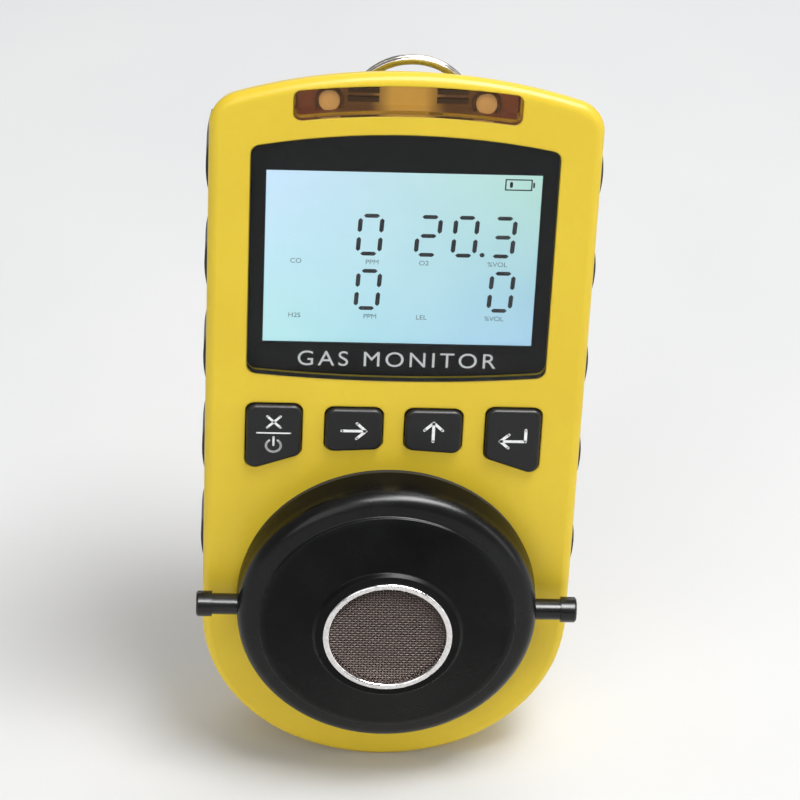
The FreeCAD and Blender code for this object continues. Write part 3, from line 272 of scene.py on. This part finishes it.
def make_materials():
    """Every material by a short name."""
    yellow = (0.80, 0.58, 0.035)
    deep_yellow = (0.75, 0.53, 0.03)
    clear = (0.97, 0.98, 0.98)
    smoky = (0.86, 0.77, 0.62)
    rubber = (0.028, 0.027, 0.026)
    return {
        "case": moulded("case_plastic", yellow, deep_yellow, (0.34, 0.44), edge=0.4, shine=0.3),
        "hood": hood_plastic(),
        "grip": moulded("grip_rubber", grey(0.018), rubber, (0.5, 0.65), 2000, 0.03, 0.2),
        "seal": moulded("seal_rubber", grey(0.012), grey(0.02), (0.55, 0.7), 1500, 0.02, 0.1),
        "key": moulded("key_rubber", grey(0.007), grey(0.01), (0.34, 0.46), 2400, 0.012, 0.15, 0.3),
        "bezel": moulded("bezel_ink", grey(0.003), grey(0.005), (0.4, 0.5), 3000, 0.003, 0, 0.1),
        "plastic": moulded("inner_plastic", (0.03, 0.03, 0.032), grey(0.045), (0.45, 0.6), 2200, 0.015),
        "mat": moulded("silicone_mat", (0.22, 0.22, 0.23), grey(0.27), (0.5, 0.6), 2000, 0.01),
        "white": moulded("sensor_plastic", (0.72, 0.72, 0.69), (0.66, 0.66, 0.62), (0.4, 0.5), 2000, 0.008),
        "wrap": moulded("cell_wrap", (0.08, 0.2, 0.42), (0.07, 0.17, 0.36), (0.25, 0.35), 900, 0.01),
        "barb": moulded("barb_finish", grey(0.004), grey(0.006), (0.2, 0.28), 1500, 0.001, 0.08, 0.35),
        "label": metal("label_foil", (0.62, 0.62, 0.60), (0.3, 0.42), (1, 1, 14), 1400),
        "steel": metal("brushed_steel", (0.50, 0.49, 0.47), (0.26, 0.38), (0.12, 1, 8), 1300),
        "blade": metal("lever_steel", (0.52, 0.51, 0.49), (0.24, 0.34), (6, 3, 0.08), 1300),
        "wire": metal("ring_steel", (0.60, 0.56, 0.50), (0.16, 0.26), (1, 1, 1), 1800, 0.05),
        "bright": metal("bright_steel", (0.86, 0.84, 0.83), (0.10, 0.18), (1, 1, 1), 2000, 0.08, 0.001),
        "mesh": metal("mesh_steel", (0.15, 0.12, 0.11), (0.5, 0.65), (1, 1, 1), 1600, 0.0, 0.004),
        "brass": metal("brass", (0.66, 0.47, 0.20), (0.25, 0.38), (1, 1, 8), 1300),
        "window": cover("window_cover", clear, 0.03, 0.0, 1.2),
        "smoke": cover("smoky_lens", smoky, 0.05, 0.02, 1.2),
        "screen": screen_glow(),
        "board": circuit_board("board_mask", (0.01, 0.10, 0.045), (0.05, 0.24, 0.11)),
        "filter": foam("filter_membrane", (0.10, 0.085, 0.075)),
        "foam": foam("gasket_foam", (0.10, 0.10, 0.105)),
        "diffuser": print_ink("diffuser", (0.85, 0.88, 0.9)),
        "ink": print_ink("white_ink", grey(0.92)),
        "segment": print_ink("segment_ink", (0.012, 0.016, 0.022)),
        "faint": print_ink("faint_ink", (0.16, 0.24, 0.27)),
        "reflector": reflector_painted_glow(),
        "amber": print_ink("lamp_amber", (0.84, 0.60, 0.32), 0.4),
        # The lamp cups glow faintly (0.05): painted light, as the cups are no lamps.
        "cup": print_ink("lamp_cup", (0.13, 0.06, 0.025), 0.05),
        "dark": print_ink("reflector_dark", (0.07, 0.036, 0.016)),
    }


material = make_materials()

NODE_FINISH = {
    "case": ["front_shell", "back_shell"],
    "grip": ["side_grip_left", "side_grip_right", "port_flap"],
    "seal": ["case_seal", "hood_seal"],
    "hood": ["gas_hood"],
    "key": ["key_power", "key_next", "key_up", "key_enter"],
    "bezel": ["display_bezel"],
    "plastic": [
        "lcd_holder", "buzzer", "battery_tray", "battery_contacts", "board_connector", "sensor_carrier",
    ],
    "mat": ["keypad_mat"],
    "white": ["sensor_co", "sensor_o2", "sensor_h2s"],
    "wrap": ["battery_cell"],
    "label": ["label_plate"],
    "steel": [
        "case_screws", "board_screws", "bracket_screws", "key_switches", "vibration_motor", "charging_socket",
        "clip_base", "clip_pin", "clip_spring", "ring_lug", "sensor_lel",
    ],
    "blade": ["clip_lever"],
    "wire": ["lanyard_ring"],
    "bright": ["mesh_ring"],
    "mesh": ["mesh_disc"],
    "brass": ["threaded_inserts", "motor_weight"],
    "barb": ["hose_barb_left", "hose_barb_right"],
    "window": ["display_window"],
    "smoke": ["led_lens"],
    "screen": ["lcd_glass"],
    "board": ["main_board", "led_board", "sensor_board", "charging_board"],
    "filter": ["dust_filter"],
    "foam": ["sensor_gasket"],
    "diffuser": ["lcd_backlight"],
    "amber": ["alarm_leds"],
}


def dress_nodes():
    """Give every node of the frame its finish."""
    for finish, names in NODE_FINISH.items():
        for name in names:
            item = nodes[name]
            item.data.materials.clear()
            item.data.materials.append(material[finish])


# ------------------------------------------------------------- mesh helpers


def placed(name, data):
    """New object in the scene."""
    item = bpy.data.objects.new(name, data)
    bpy.context.scene.collection.objects.link(item)
    return item


def piece(name, mesh, finish, body):
    """Finished object that rides on a body."""
    item = placed(name, mesh)
    mesh.materials.append(material[finish])
    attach(item, body)
    return item


def mesh_from(name, build, smooth=True):
    """Mesh filled in by a function that works on a bmesh."""
    work = bmesh.new()
    build(work)
    bmesh.ops.recalc_face_normals(work, faces=work.faces)
    mesh = bpy.data.meshes.new(name)
    work.to_mesh(mesh)
    work.free()
    if smooth:
        mesh.shade_smooth()
    return mesh


def slab(work, outline, front, back):
    """Flat solid from an outline of (x, z) points between two y planes."""
    rings = [[work.verts.new((x, y, z)) for x, z in outline] for y in (front, back)]
    work.faces.new(rings[0])
    work.faces.new(reversed(rings[1]))
    count = len(outline)
    for start in range(count):
        end = (start + 1) % count
        work.faces.new((rings[0][start], rings[1][start], rings[1][end], rings[0][end]))


def disc_outline(x, z, radius, count=24):
    """Outline of a round dot."""
    return [
        (x + radius * math.cos(TURN * step / count), z + radius * math.sin(TURN * step / count))
        for step in range(count)
    ]


def rectangle(left, bottom, right, top):
    """Outline of an upright rectangle."""
    return [(left, bottom), (right, bottom), (right, top), (left, top)]


def stroke_outlines(points, width, closed=False):
    """Outlines of a drawn line: one bar for each stretch and a round dot at each point."""
    outlines = [disc_outline(x, z, width / 2, 12) for x, z in points]
    ends = points[1:] + points[:1] if closed else points[1:]
    for (x0, z0), (x1, z1) in zip(points, ends):
        along = Vector((x1 - x0, z1 - z0))
        side = Vector((-along.y, along.x)).normalized() * width / 2
        outlines.append([
            (x0 - side.x, z0 - side.y),
            (x1 - side.x, z1 - side.y),
            (x1 + side.x, z1 + side.y),
            (x0 + side.x, z0 + side.y),
        ])
    return outlines


def print_piece(name, outlines, front, thickness, finish, body):
    """Thin raised print made of several flat outlines."""

    def build(work):
        for outline in outlines:
            slab(work, outline, front - thickness, front)

    return piece(name, mesh_from(name, build, smooth=False), finish, body)


def lathe(work, profile, centre, axis, count=96):
    """Turn a closed profile of (along, radius) about an axis through a centre."""
    along = Vector(axis).normalized()
    side = along.orthogonal().normalized()
    other = along.cross(side)
    rings = []
    for step in range(count):
        angle = TURN * step / count
        out = side * math.cos(angle) + other * math.sin(angle)
        points = [Vector(centre) + along * reach + out * radius for reach, radius in profile]
        rings.append([work.verts.new(point) for point in points])
    for step in range(count):
        ring, after = rings[step], rings[(step + 1) % count]
        for number in range(len(profile)):
            follow = (number + 1) % len(profile)
            work.faces.new((ring[number], ring[follow], after[follow], after[number]))


def tube(work, path, radius, sides):
    """Round bar along a list of points, closed at both ends."""
    rings = []
    side = None
    for number, point in enumerate(path):
        before = path[max(number - 1, 0)]
        after = path[min(number + 1, len(path) - 1)]
        along = (after - before).normalized()
        side = side - along * side.dot(along) if rings else along.orthogonal()
        side = side.normalized()
        other = along.cross(side)
        ring = []
        for step in range(sides):
            angle = TURN * step / sides
            out = side * math.cos(angle) + other * math.sin(angle)
            ring.append(work.verts.new(point + out * radius))
        rings.append(ring)
    for ring, after in zip(rings, rings[1:]):
        for step in range(sides):
            follow = (step + 1) % sides
            work.faces.new((ring[step], ring[follow], after[follow], after[step]))
    work.faces.new(rings[0])
    work.faces.new(reversed(rings[-1]))


def thinned(name, node, front, back, finish, edge):
    """Copy of a flat CAD piece with its two faces at new y planes and its edges rounded."""
    source = nodes[node]
    mesh = source.data.copy()
    mesh.materials.clear()
    mesh.transform(source.matrix_world)
    low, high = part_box(node)
    for corner in mesh.vertices:
        share = (corner.co.y - low.y) / (high.y - low.y)
        corner.co.y = front + share * (back - front)
    made = piece(name, mesh, finish, "case")
    rounding = made.modifiers.new("edge", "BEVEL")
    rounding.width = edge
    rounding.segments = 2
    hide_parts(node)
    return made


# ------------------------------------------------------------------ the screen


def make_window():
    """Clear window with a rounded rim, a hair off the black frame printed behind it."""
    low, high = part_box("display_window")
    back = high.y - 0.1 * MM
    thinned("clear_window", "display_window", low.y, back, "window", 0.2 * MM)
    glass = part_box("lcd_glass")[0].y
    front, back = glass - 0.4 * MM, glass - 0.05 * MM
    thinned("black_frame", "display_bezel", front, back, "bezel", 0.03 * MM)


SEGMENTS = {
    "a": ((0, 1), (1, 1)),
    "b": ((1, 1), (1, 0.5)),
    "c": ((1, 0.5), (1, 0)),
    "d": ((0, 0), (1, 0)),
    "e": ((0, 0.5), (0, 0)),
    "f": ((0, 1), (0, 0.5)),
    "g": ((0, 0.5), (1, 0.5)),
}
LIT = {"0": "abcdef", "2": "abged", "3": "abgcd"}


def digit_outlines(digit, left, bottom, width, height, stroke, slant):
    """Six-cornered bars of one lit digit."""
    outlines = []
    for name in LIT[digit]:
        (x0, z0), (x1, z1) = SEGMENTS[name]
        start = Vector((left + x0 * width, bottom + z0 * height))
        end = Vector((left + x1 * width, bottom + z1 * height))
        along = (end - start).normalized()
        side = Vector((-along.y, along.x)) * stroke / 2
        gap = along * stroke * 0.62
        tip = along * stroke * 0.5
        corners = [
            start + gap,
            start + gap + tip - side,
            end - gap - tip - side,
            end - gap,
            end - gap - tip + side,
            start + gap + tip + side,
        ]
        outlines.append([(point.x + (point.y - bottom) * slant, point.y) for point in corners])
    return outlines


def text_outlines_mesh(name, lines, front, thickness, spacing=1.0):
    """One mesh of several short texts; each line is (text, centre x, centre z, size)."""
    joined = bmesh.new()
    for text, x, z, size in lines:
        curve = bpy.data.curves.new(name, "FONT")
        curve.body = text
        curve.size = size
        curve.extrude = thickness / 2
        curve.space_character = spacing
        curve.align_x = "CENTER"
        curve.align_y = "CENTER"
        letter = placed(name, curve)
        mesh = bpy.data.meshes.new_from_object(letter)
        upright = Matrix.Rotation(math.pi / 2, 4, "X")
        mesh.transform(Matrix.Translation((x, front - thickness / 2, z)) @ upright)
        joined.from_mesh(mesh)
        bpy.data.objects.remove(letter)
        bpy.data.curves.remove(curve)
        bpy.data.meshes.remove(mesh)
    made = bpy.data.meshes.new(name)
    joined.to_mesh(made)
    joined.free()
    return made


def screen_spot(across, down):
    """Place on the visible screen: fractions from its left and from its top."""
    low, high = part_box("lcd_glass")
    border = 1.0 * MM
    left, right = low.x + border, high.x - border
    bottom, top = low.z + border, high.z - border
    return left + (right - left) * across, top - (top - bottom) * down


def make_screen():
    """Readings, gas names and a battery sign on the lit screen."""
    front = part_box("lcd_glass")[0].y
    film = 0.02 * MM
    outlines = []
    width = 3.5 * MM
    height = 7.1 * MM
    stroke = 0.72 * MM
    slant = 0.05
    upper, lower = 0.475, 0.795
    readings = [("0", 0.340, upper), ("2", 0.553, upper), ("0", 0.688, upper), ("3", 0.826, upper)]
    readings += [("0", 0.340, lower), ("0", 0.832, lower)]
    for digit, across, down in readings:
        x, z = screen_spot(across, down)
        outlines += digit_outlines(digit, x, z, width, height, stroke, slant)
    x, z = screen_spot(0.797, 0.470)
    outlines.append(disc_outline(x, z, 0.42 * MM, 12))
    x, z = screen_spot(0.915, 0.062)
    half = Vector((2.1 * MM, 0.95 * MM))
    case = rectangle(x - half.x, z - half.y, x + half.x, z + half.y)
    outlines += stroke_outlines(case, 0.22 * MM, closed=True)
    pole = (x + half.x + 0.35 * MM, 0.35 * MM, 0.3 * MM)
    charge = (x - half.x + 0.9 * MM, 0.3 * MM, 0.5 * MM)
    for across, tall, wide in (pole, charge):
        outlines += stroke_outlines([(across, z - tall), (across, z + tall)], wide)
    print_piece("screen_readings", outlines, front, film, "segment", "case")

    size = 1.25 * MM
    first = [("CO", 0.115), ("PPM", 0.395), ("O2", 0.585), ("%VOL", 0.855)]
    second = [("H2S", 0.115), ("PPM", 0.395), ("LEL", 0.585), ("%VOL", 0.855)]
    lines = []
    for row, down in ((first, 0.525), (second, 0.845)):
        for text, across in row:
            x, z = screen_spot(across, down)
            lines.append((text, x, z, size))
    mesh = text_outlines_mesh("screen_units", lines, front, film)
    piece("screen_units", mesh, "faint", "case")


def make_window_print():
    """Generic white wording in the black band under the screen."""
    frame_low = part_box("display_bezel")[0]
    glass_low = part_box("lcd_glass")[0]
    z = (frame_low.z + glass_low.z) / 2 + 0.45 * MM
    front = glass_low.y - 0.42 * MM
    line = [("GAS MONITOR", 0, z, 4.1 * MM)]
    mesh = text_outlines_mesh("window_print", line, front, 0.02 * MM, 1.25)
    piece("window_print", mesh, "ink", "case")


def make_label_print():
    """Border and empty ruled cells printed on the back label."""
    low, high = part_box("label_plate")
    inset = 1.2 * MM
    left, right = low.x + inset, high.x - inset
    bottom, top = low.z + inset, high.z - inset
    line = 0.25 * MM
    outlines = stroke_outlines(rectangle(left, bottom, right, top), line, closed=True)
    for share in (0.3, 0.6):
        z = bottom + (top - bottom) * share
        outlines += stroke_outlines([(left, z), (right, z)], line)
    split = left + (right - left) * 0.4
    outlines += stroke_outlines([(split, bottom), (split, bottom + (top - bottom) * 0.6)], line)
    print_piece("label_print", outlines, high.y + 0.02 * MM, 0.03 * MM, "segment", "case")


# -------------------------------------------------------------------- the keys


def arc_points(x, z, radius, start, end, count=14):
    """Points of an arc between two angles in degrees."""
    angles = [math.radians(start + (end - start) * step / count) for step in range(count + 1)]
    return [(x + radius * math.cos(angle), z + radius * math.sin(angle)) for angle in angles]


def key_sign(key, lift, lines):
    """White sign on a key: each line is (points in mm from the middle, width in mm)."""
    low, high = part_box("key_" + key)
    x = (low.x + high.x) / 2
    z = (low.z + high.z) / 2 + lift * MM
    outlines = []
    for points, width in lines:
        outlines += stroke_outlines([(x + across * MM, z + up * MM) for across, up in points], width * MM)
    print_piece("sign_" + key, outlines, low.y, 0.03 * MM, "ink", f"key_{key}_body")


def make_key_signs():
    """White signs on the four keys: cancel over power, next, up, and enter."""
    thin, medium, bold = 0.252, 0.378, 0.504
    key_sign("power", 0.9, [
        ([(-1.1, 3.4), (1.1, 1.2)], 0.42),
        ([(-1.1, 1.2), (1.1, 3.4)], 0.42),
        ([(-2.8, 0.1), (2.8, 0.1)], thin),
        (arc_points(0, -2.4, 1.25, 125, 415), medium),
        ([(0, -0.7), (0, -2.3)], medium),
    ])
    key_sign("next", 0.15, [([(-2.0, 0), (1.8, 0)], bold), ([(0.5, 1.5), (2.0, 0), (0.5, -1.5)], bold)])
    key_sign("up", 0.15, [([(0, -1.8), (0, 1.7)], bold), ([(-1.5, 0.4), (0, 1.9), (1.5, 0.4)], bold)])
    key_sign("enter", 0.6, [
        ([(2.1, 1.9), (2.1, -0.4), (-2.0, -0.4)], bold),
        ([(-0.7, 0.9), (-2.1, -0.4), (-0.7, -1.7)], bold),
    ])


# -------------------------------------------------------------- the alarm lamps


def lens_band(half, bottom, top, sag, count=20):
    """Outline arched like the lens, from its left to its right end."""
    lower = []
    upper = []
    for step in range(count + 1):
        x = -half + 2 * half * step / count
        drop = sag * (x / half) ** 2
        lower.append((x, bottom - drop))
        upper.append((x, top - drop))
    return lower + upper[::-1]


def make_lamps():
    """Reflector behind the smoky lens, with a cup and a domed lamp at each end."""
    low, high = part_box("led_lens")
    lamp_low, lamp_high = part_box("alarm_leds")
    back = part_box("led_board")[0].y
    half = high.x - 0.5 * MM
    sag = 1.0 * MM
    bottom = low.z + 1.4 * MM
    top = high.z - 0.5 * MM
    plane = back - 0.1 * MM

    band = lens_band(half, bottom, top, sag)
    print_piece("lamp_reflector", [band], plane, 0.1 * MM, "reflector", "case")
    # Shelf from the reflector forward to the lens, in the same glowing finish: painted light over the
    # pocket's floor, which lies in shade.
    shelf = lens_band(half, bottom, bottom + 0.15 * MM, 1.15 * MM)
    reach = plane - high.y - 0.05 * MM
    print_piece("lamp_shelf", [shelf], plane, reach, "reflector", "case")

    middle = (bottom + top) / 2 - sag * 0.18
    inner, outer, thick = 4.6 * MM, 9.6 * MM, 0.42 * MM
    bars = []
    for side in (-1, 1):
        for shift in (0.85 * MM, -0.75 * MM):
            start, end = sorted((side * inner, side * outer))
            z = middle + shift
            bars.append(rectangle(start, z - thick, end, z + thick))
    print_piece("lamp_bars", bars, plane - 0.1 * MM, 0.6 * MM, "dark", "case")

    z = (lamp_low.z + lamp_high.z) / 2
    for side, name in ((-1, "left"), (1, "right")):
        x = side * (lamp_high.x - (lamp_high.z - lamp_low.z) / 2)
        centre = (x, plane - 0.1 * MM, z)

        def cup(work):
            profile = [(0, 1.75 * MM), (0.9 * MM, 2.05 * MM), (0.9 * MM, 2.35 * MM), (0, 2.35 * MM)]
            lathe(work, profile, centre, (0, -1, 0), 48)

        piece("lamp_cup_" + name, mesh_from("lamp_cup", cup), "cup", "case")

        def dome(work):
            radius, barrel, crown = 1.65 * MM, 0.8 * MM, 0.75 * MM
            profile = [(0, 0.0), (0, radius), (barrel, radius)]
            for step in range(1, 7):
                angle = TURN / 4 * step / 6
                profile.append((barrel + crown * math.sin(angle), radius * math.cos(angle)))
            lathe(work, profile, centre, (0, -1, 0), 40)

        lamp = piece("lamp_" + name, mesh_from("lamp", dome), "amber", "case")
        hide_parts("alarm_leds")


# ----------------------------------------------------------- mesh, ring, spring


def rounded_profile(corners, count=6):
    """Profile with rounded corners from (along, radius, rounding) corners."""
    points = []
    for number, (along, radius, rounding) in enumerate(corners):
        spot = Vector((along, radius))
        if not rounding:
            points.append((along, radius))
            continue
        before = (Vector(corners[number - 1][:2]) - spot).normalized()
        after = (Vector(corners[(number + 1) % len(corners)][:2]) - spot).normalized()
        half_angle = before.angle(after) / 2
        centre = spot + (before + after).normalized() * rounding / math.sin(half_angle)
        first = -before.orthogonal() if before.orthogonal().dot(after) > 0 else before.orthogonal()
        last = -after.orthogonal() if after.orthogonal().dot(before) > 0 else after.orthogonal()
        for step in range(count + 1):
            point = centre + first.slerp(last, step / count) * rounding
            points.append((point.x, point.y))
    return points


def make_hood():
    """Round cap: straight wall, full shoulder, a fine bead and a shallow cone up to the ring's seat."""
    low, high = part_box("gas_hood")
    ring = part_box("mesh_ring")
    radius = (high.x - low.x) / 2
    seat = (ring[1].x - ring[0].x) / 2
    height = high.y - low.y
    centre = ((low.x + high.x) / 2, high.y, (low.z + high.z) / 2)
    corners = [
        (0, radius - 2.2 * MM, 0),
        (0, radius - 0.25 * MM, 0.1 * MM),
        (0.5 * MM, radius, 0.2 * MM),
        (7.4 * MM, radius - 0.1 * MM, 2.6 * MM),
        (8.1 * MM, radius - 3.7 * MM, 0.3 * MM),
        (8.5 * MM, radius - 3.9 * MM, 0.2 * MM),
        (8.9 * MM, radius - 5.0 * MM, 0.4 * MM),
        (height - 0.75 * MM, seat + 1.8 * MM, 0.6 * MM),
        (height, seat + 1.25 * MM, 0.25 * MM),
        (height, seat, 0.1 * MM),
        (height - 1.8 * MM, seat, 0),
        (height - 1.8 * MM, seat - 1.9 * MM, 0),
        (height - 3.4 * MM, seat - 1.9 * MM, 0),
        (6.0 * MM, radius - 4.1 * MM, 0),
        (5.5 * MM, radius - 2.2 * MM, 0),
    ]

    def build(work):
        lathe(work, rounded_profile(corners), centre, (0, -1, 0), 192)

    hood = piece("turned_hood", mesh_from("turned_hood", build), "hood", "hood")
    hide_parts("gas_hood")


def make_mesh():
    """Woven wire disc inside the bright ring."""
    low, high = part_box("mesh_disc")
    centre = (low + high) / 2
    radius = (high.x - low.x) / 2 - 0.15 * MM
    wire = 0.11 * MM
    pitch = 0.5 * MM
    count = int(radius / pitch)

    def build(work):
        for lengthwise in (False, True):
            for row in range(-count, count + 1):
                offset = row * pitch
                reach = math.sqrt(max(radius**2 - offset**2, 0))
                steps = int(reach / pitch)
                if steps < 1:
                    continue
                first = (1 if row % 2 else -1) * (-1 if lengthwise else 1)
                path = []
                for step in range(-steps * 2, steps * 2 + 1):
                    along = step * pitch / 2
                    over = math.cos(math.pi * step / 2) * first * wire * 0.95
                    x, z = (offset, along) if lengthwise else (along, offset)
                    path.append(Vector((centre.x + x, centre.y + over, centre.z + z)))
                tube(work, path, wire, 6)

    woven = piece("woven_mesh", mesh_from("woven_mesh", build), "mesh", "hood")
    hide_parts("mesh_disc")


def make_lanyard_ring():
    """Split ring of two flat turns that step past each other."""
    low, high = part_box("lanyard_ring")
    centre = (low + high) / 2
    wire_half = (high.y - low.y) / 2
    radius = (high.x - low.x) / 2 - wire_half
    half_wide, half_deep, squareness = 0.68 * MM, 0.41 * MM, 0.6
    offset = 0.43 * MM
    count = 288
    sides = 12

    def section(angle, level):
        """Rounded flat section across the turn, at an angle from the ring's top."""
        out = Vector((math.sin(angle), 0, math.cos(angle)))
        middle = centre + out * radius + Vector((0, level, 0))
        shape = []
        for step in range(sides):
            turn = TURN * step / sides
            wide = half_wide * math.copysign(abs(math.cos(turn)) ** squareness, math.cos(turn))
            deep = half_deep * math.copysign(abs(math.sin(turn)) ** squareness, math.sin(turn))
            shape.append(middle + out * wide + Vector((0, deep, 0)))
        return shape

    def build(work):
        start = math.radians(150)
        total = 2 * TURN - math.radians(16)
        crossing = math.radians(50)
        rings = []
        for step in range(count + 1):
            done = total * step / count
            share = min(max((done - total / 2) / crossing + 0.5, 0), 1)
            level = offset * (2 * share * share * (3 - 2 * share) - 1)
            rings.append([work.verts.new(point) for point in section(start + done, level)])
        for ring, after in zip(rings, rings[1:]):
            for number in range(sides):
                follow = (number + 1) % sides
                work.faces.new((ring[number], ring[follow], after[follow], after[number]))
        work.faces.new(rings[0])
        work.faces.new(reversed(rings[-1]))

    ring = piece("split_ring", mesh_from("split_ring", build), "wire", "ring")
    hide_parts("lanyard_ring")


def make_clip_spring():
    """Wound torsion spring around the clip's pin, with two legs."""
    low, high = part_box("clip_pin")
    centre = (low + high) / 2
    pin = (high.z - low.z) / 2
    wire = 0.36 * MM
    radius = pin + wire + 0.06 * MM
    half = 5.4 * MM
    turns = 14
    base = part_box("clip_base")[0].y + 1.5 * MM

    def build(work):
        path = [
            Vector((-half, base + wire, centre.z - 7 * MM)),
            Vector((-half, base + wire, centre.z - 4 * MM)),
            Vector((-half, centre.y - radius, centre.z - 1.5 * MM)),
        ]
        steps = turns * 16
        for step in range(steps + 1):
            angle = TURN * step / 16
            x = -half + 2 * half * step / steps
            y = centre.y - radius * math.cos(angle)
            path.append(Vector((x, y, centre.z + radius * math.sin(angle))))
        path.append(Vector((half, centre.y - radius, centre.z - 2.0 * MM)))
        path.append(Vector((half, centre.y - radius + 0.2 * MM, centre.z - 4.5 * MM)))
        tube(work, path, wire, 8)

    spring = piece("wound_spring", mesh_from("wound_spring", build), "steel", "case")
    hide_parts("clip_spring")


# ------------------------------------------------------- floor, light, camera


def make_floor():
    """Pale seamless floor under the lowest point."""
    size = 3.0
    mesh = bpy.data.meshes.new("floor")
    z = cad_low.z
    corners = [(-size, -size, z), (size, -size, z), (size, size, z), (-size, size, z)]
    mesh.from_pydata(corners, [], [(0, 1, 2, 3)])
    floor = placed("floor", mesh)
    graph = Graph("floor_paper")
    cloud = graph.spread(graph.noise(9, 3), 0, 1)
    tone = graph.blend(cloud, rgb(0.74, 0.74, 0.73), rgb(*grey(0.70)))
    grain = graph.bump(tone, 0.1 * MM)
    mesh.materials.append(graph.surface(Base_Color=tone, Roughness=0.85, Normal=grain))


def softbox(name, place, size, power):
    """Rectangular light that faces the object's origin."""
    light = bpy.data.lights.new(name, "AREA")
    light.shape = "RECTANGLE"
    light.size, light.size_y = size
    light.energy = power
    item = placed(name, light)
    item.location = place
    item.rotation_euler = (-Vector(place)).to_track_quat("-Z", "Y").to_euler()
    return item


def make_light():
    """Soft overhead box, a strip seen only in gloss, three fills and a pale surround."""
    softbox("top_box", (0.20, -0.22, 0.75), (0.36, 0.26), 5.2)
    strip = softbox("gloss_strip", (0.22, -0.34, 0.66), (0.9, 0.24), 18.0)
    strip.visible_diffuse = False
    softbox("front_fill", (-0.55, -0.95, 0.45), (0.7, 0.7), 3.4)
    softbox("right_rim", (0.75, -0.25, 0.15), (0.25, 0.6), 1.2)
    softbox("back_fill", (0.2, 0.9, 0.6), (0.8, 0.6), 3.5)
    world = bpy.data.worlds.new("surround")
    bpy.context.scene.world = world
    world.use_nodes = True
    background = world.node_tree.nodes["Background"]
    background.inputs["Color"].default_value = rgb(0.93, 0.95, 1.0)
    background.inputs["Strength"].default_value = 0.36
    bpy.context.scene.view_settings.view_transform = "Standard"


def make_camera():
    """Camera well above the screen and a touch to the left, leaning a little."""
    data = bpy.data.cameras.new("camera")
    data.sensor_width = 36
    data.lens = 163
    data.clip_start = 0.01
    data.clip_end = 20
    camera = placed("camera", data)
    rise = math.radians(32.8)
    turn = math.radians(-3)
    lean = math.radians(2.75)
    distance = 0.602
    target = Vector((0.85 * MM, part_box("display_bezel")[0].y - 1.2 * MM, 6.9 * MM))
    level = math.cos(rise)
    towards = Vector((math.sin(turn) * level, -math.cos(turn) * level, math.sin(rise)))
    camera.location = target + towards * distance
    camera.rotation_mode = "QUATERNION"
    tilt = Matrix.Rotation(lean, 4, "Z").to_quaternion()
    camera.rotation_quaternion = towards.to_track_quat("Z", "Y") @ tilt
    bpy.context.scene.camera = camera


dress_nodes()
make_window()
make_screen()
make_window_print()
make_label_print()
make_key_signs()
make_lamps()
make_hood()
make_mesh()
make_lanyard_ring()
make_clip_spring()
make_floor()
make_light()
make_camera()
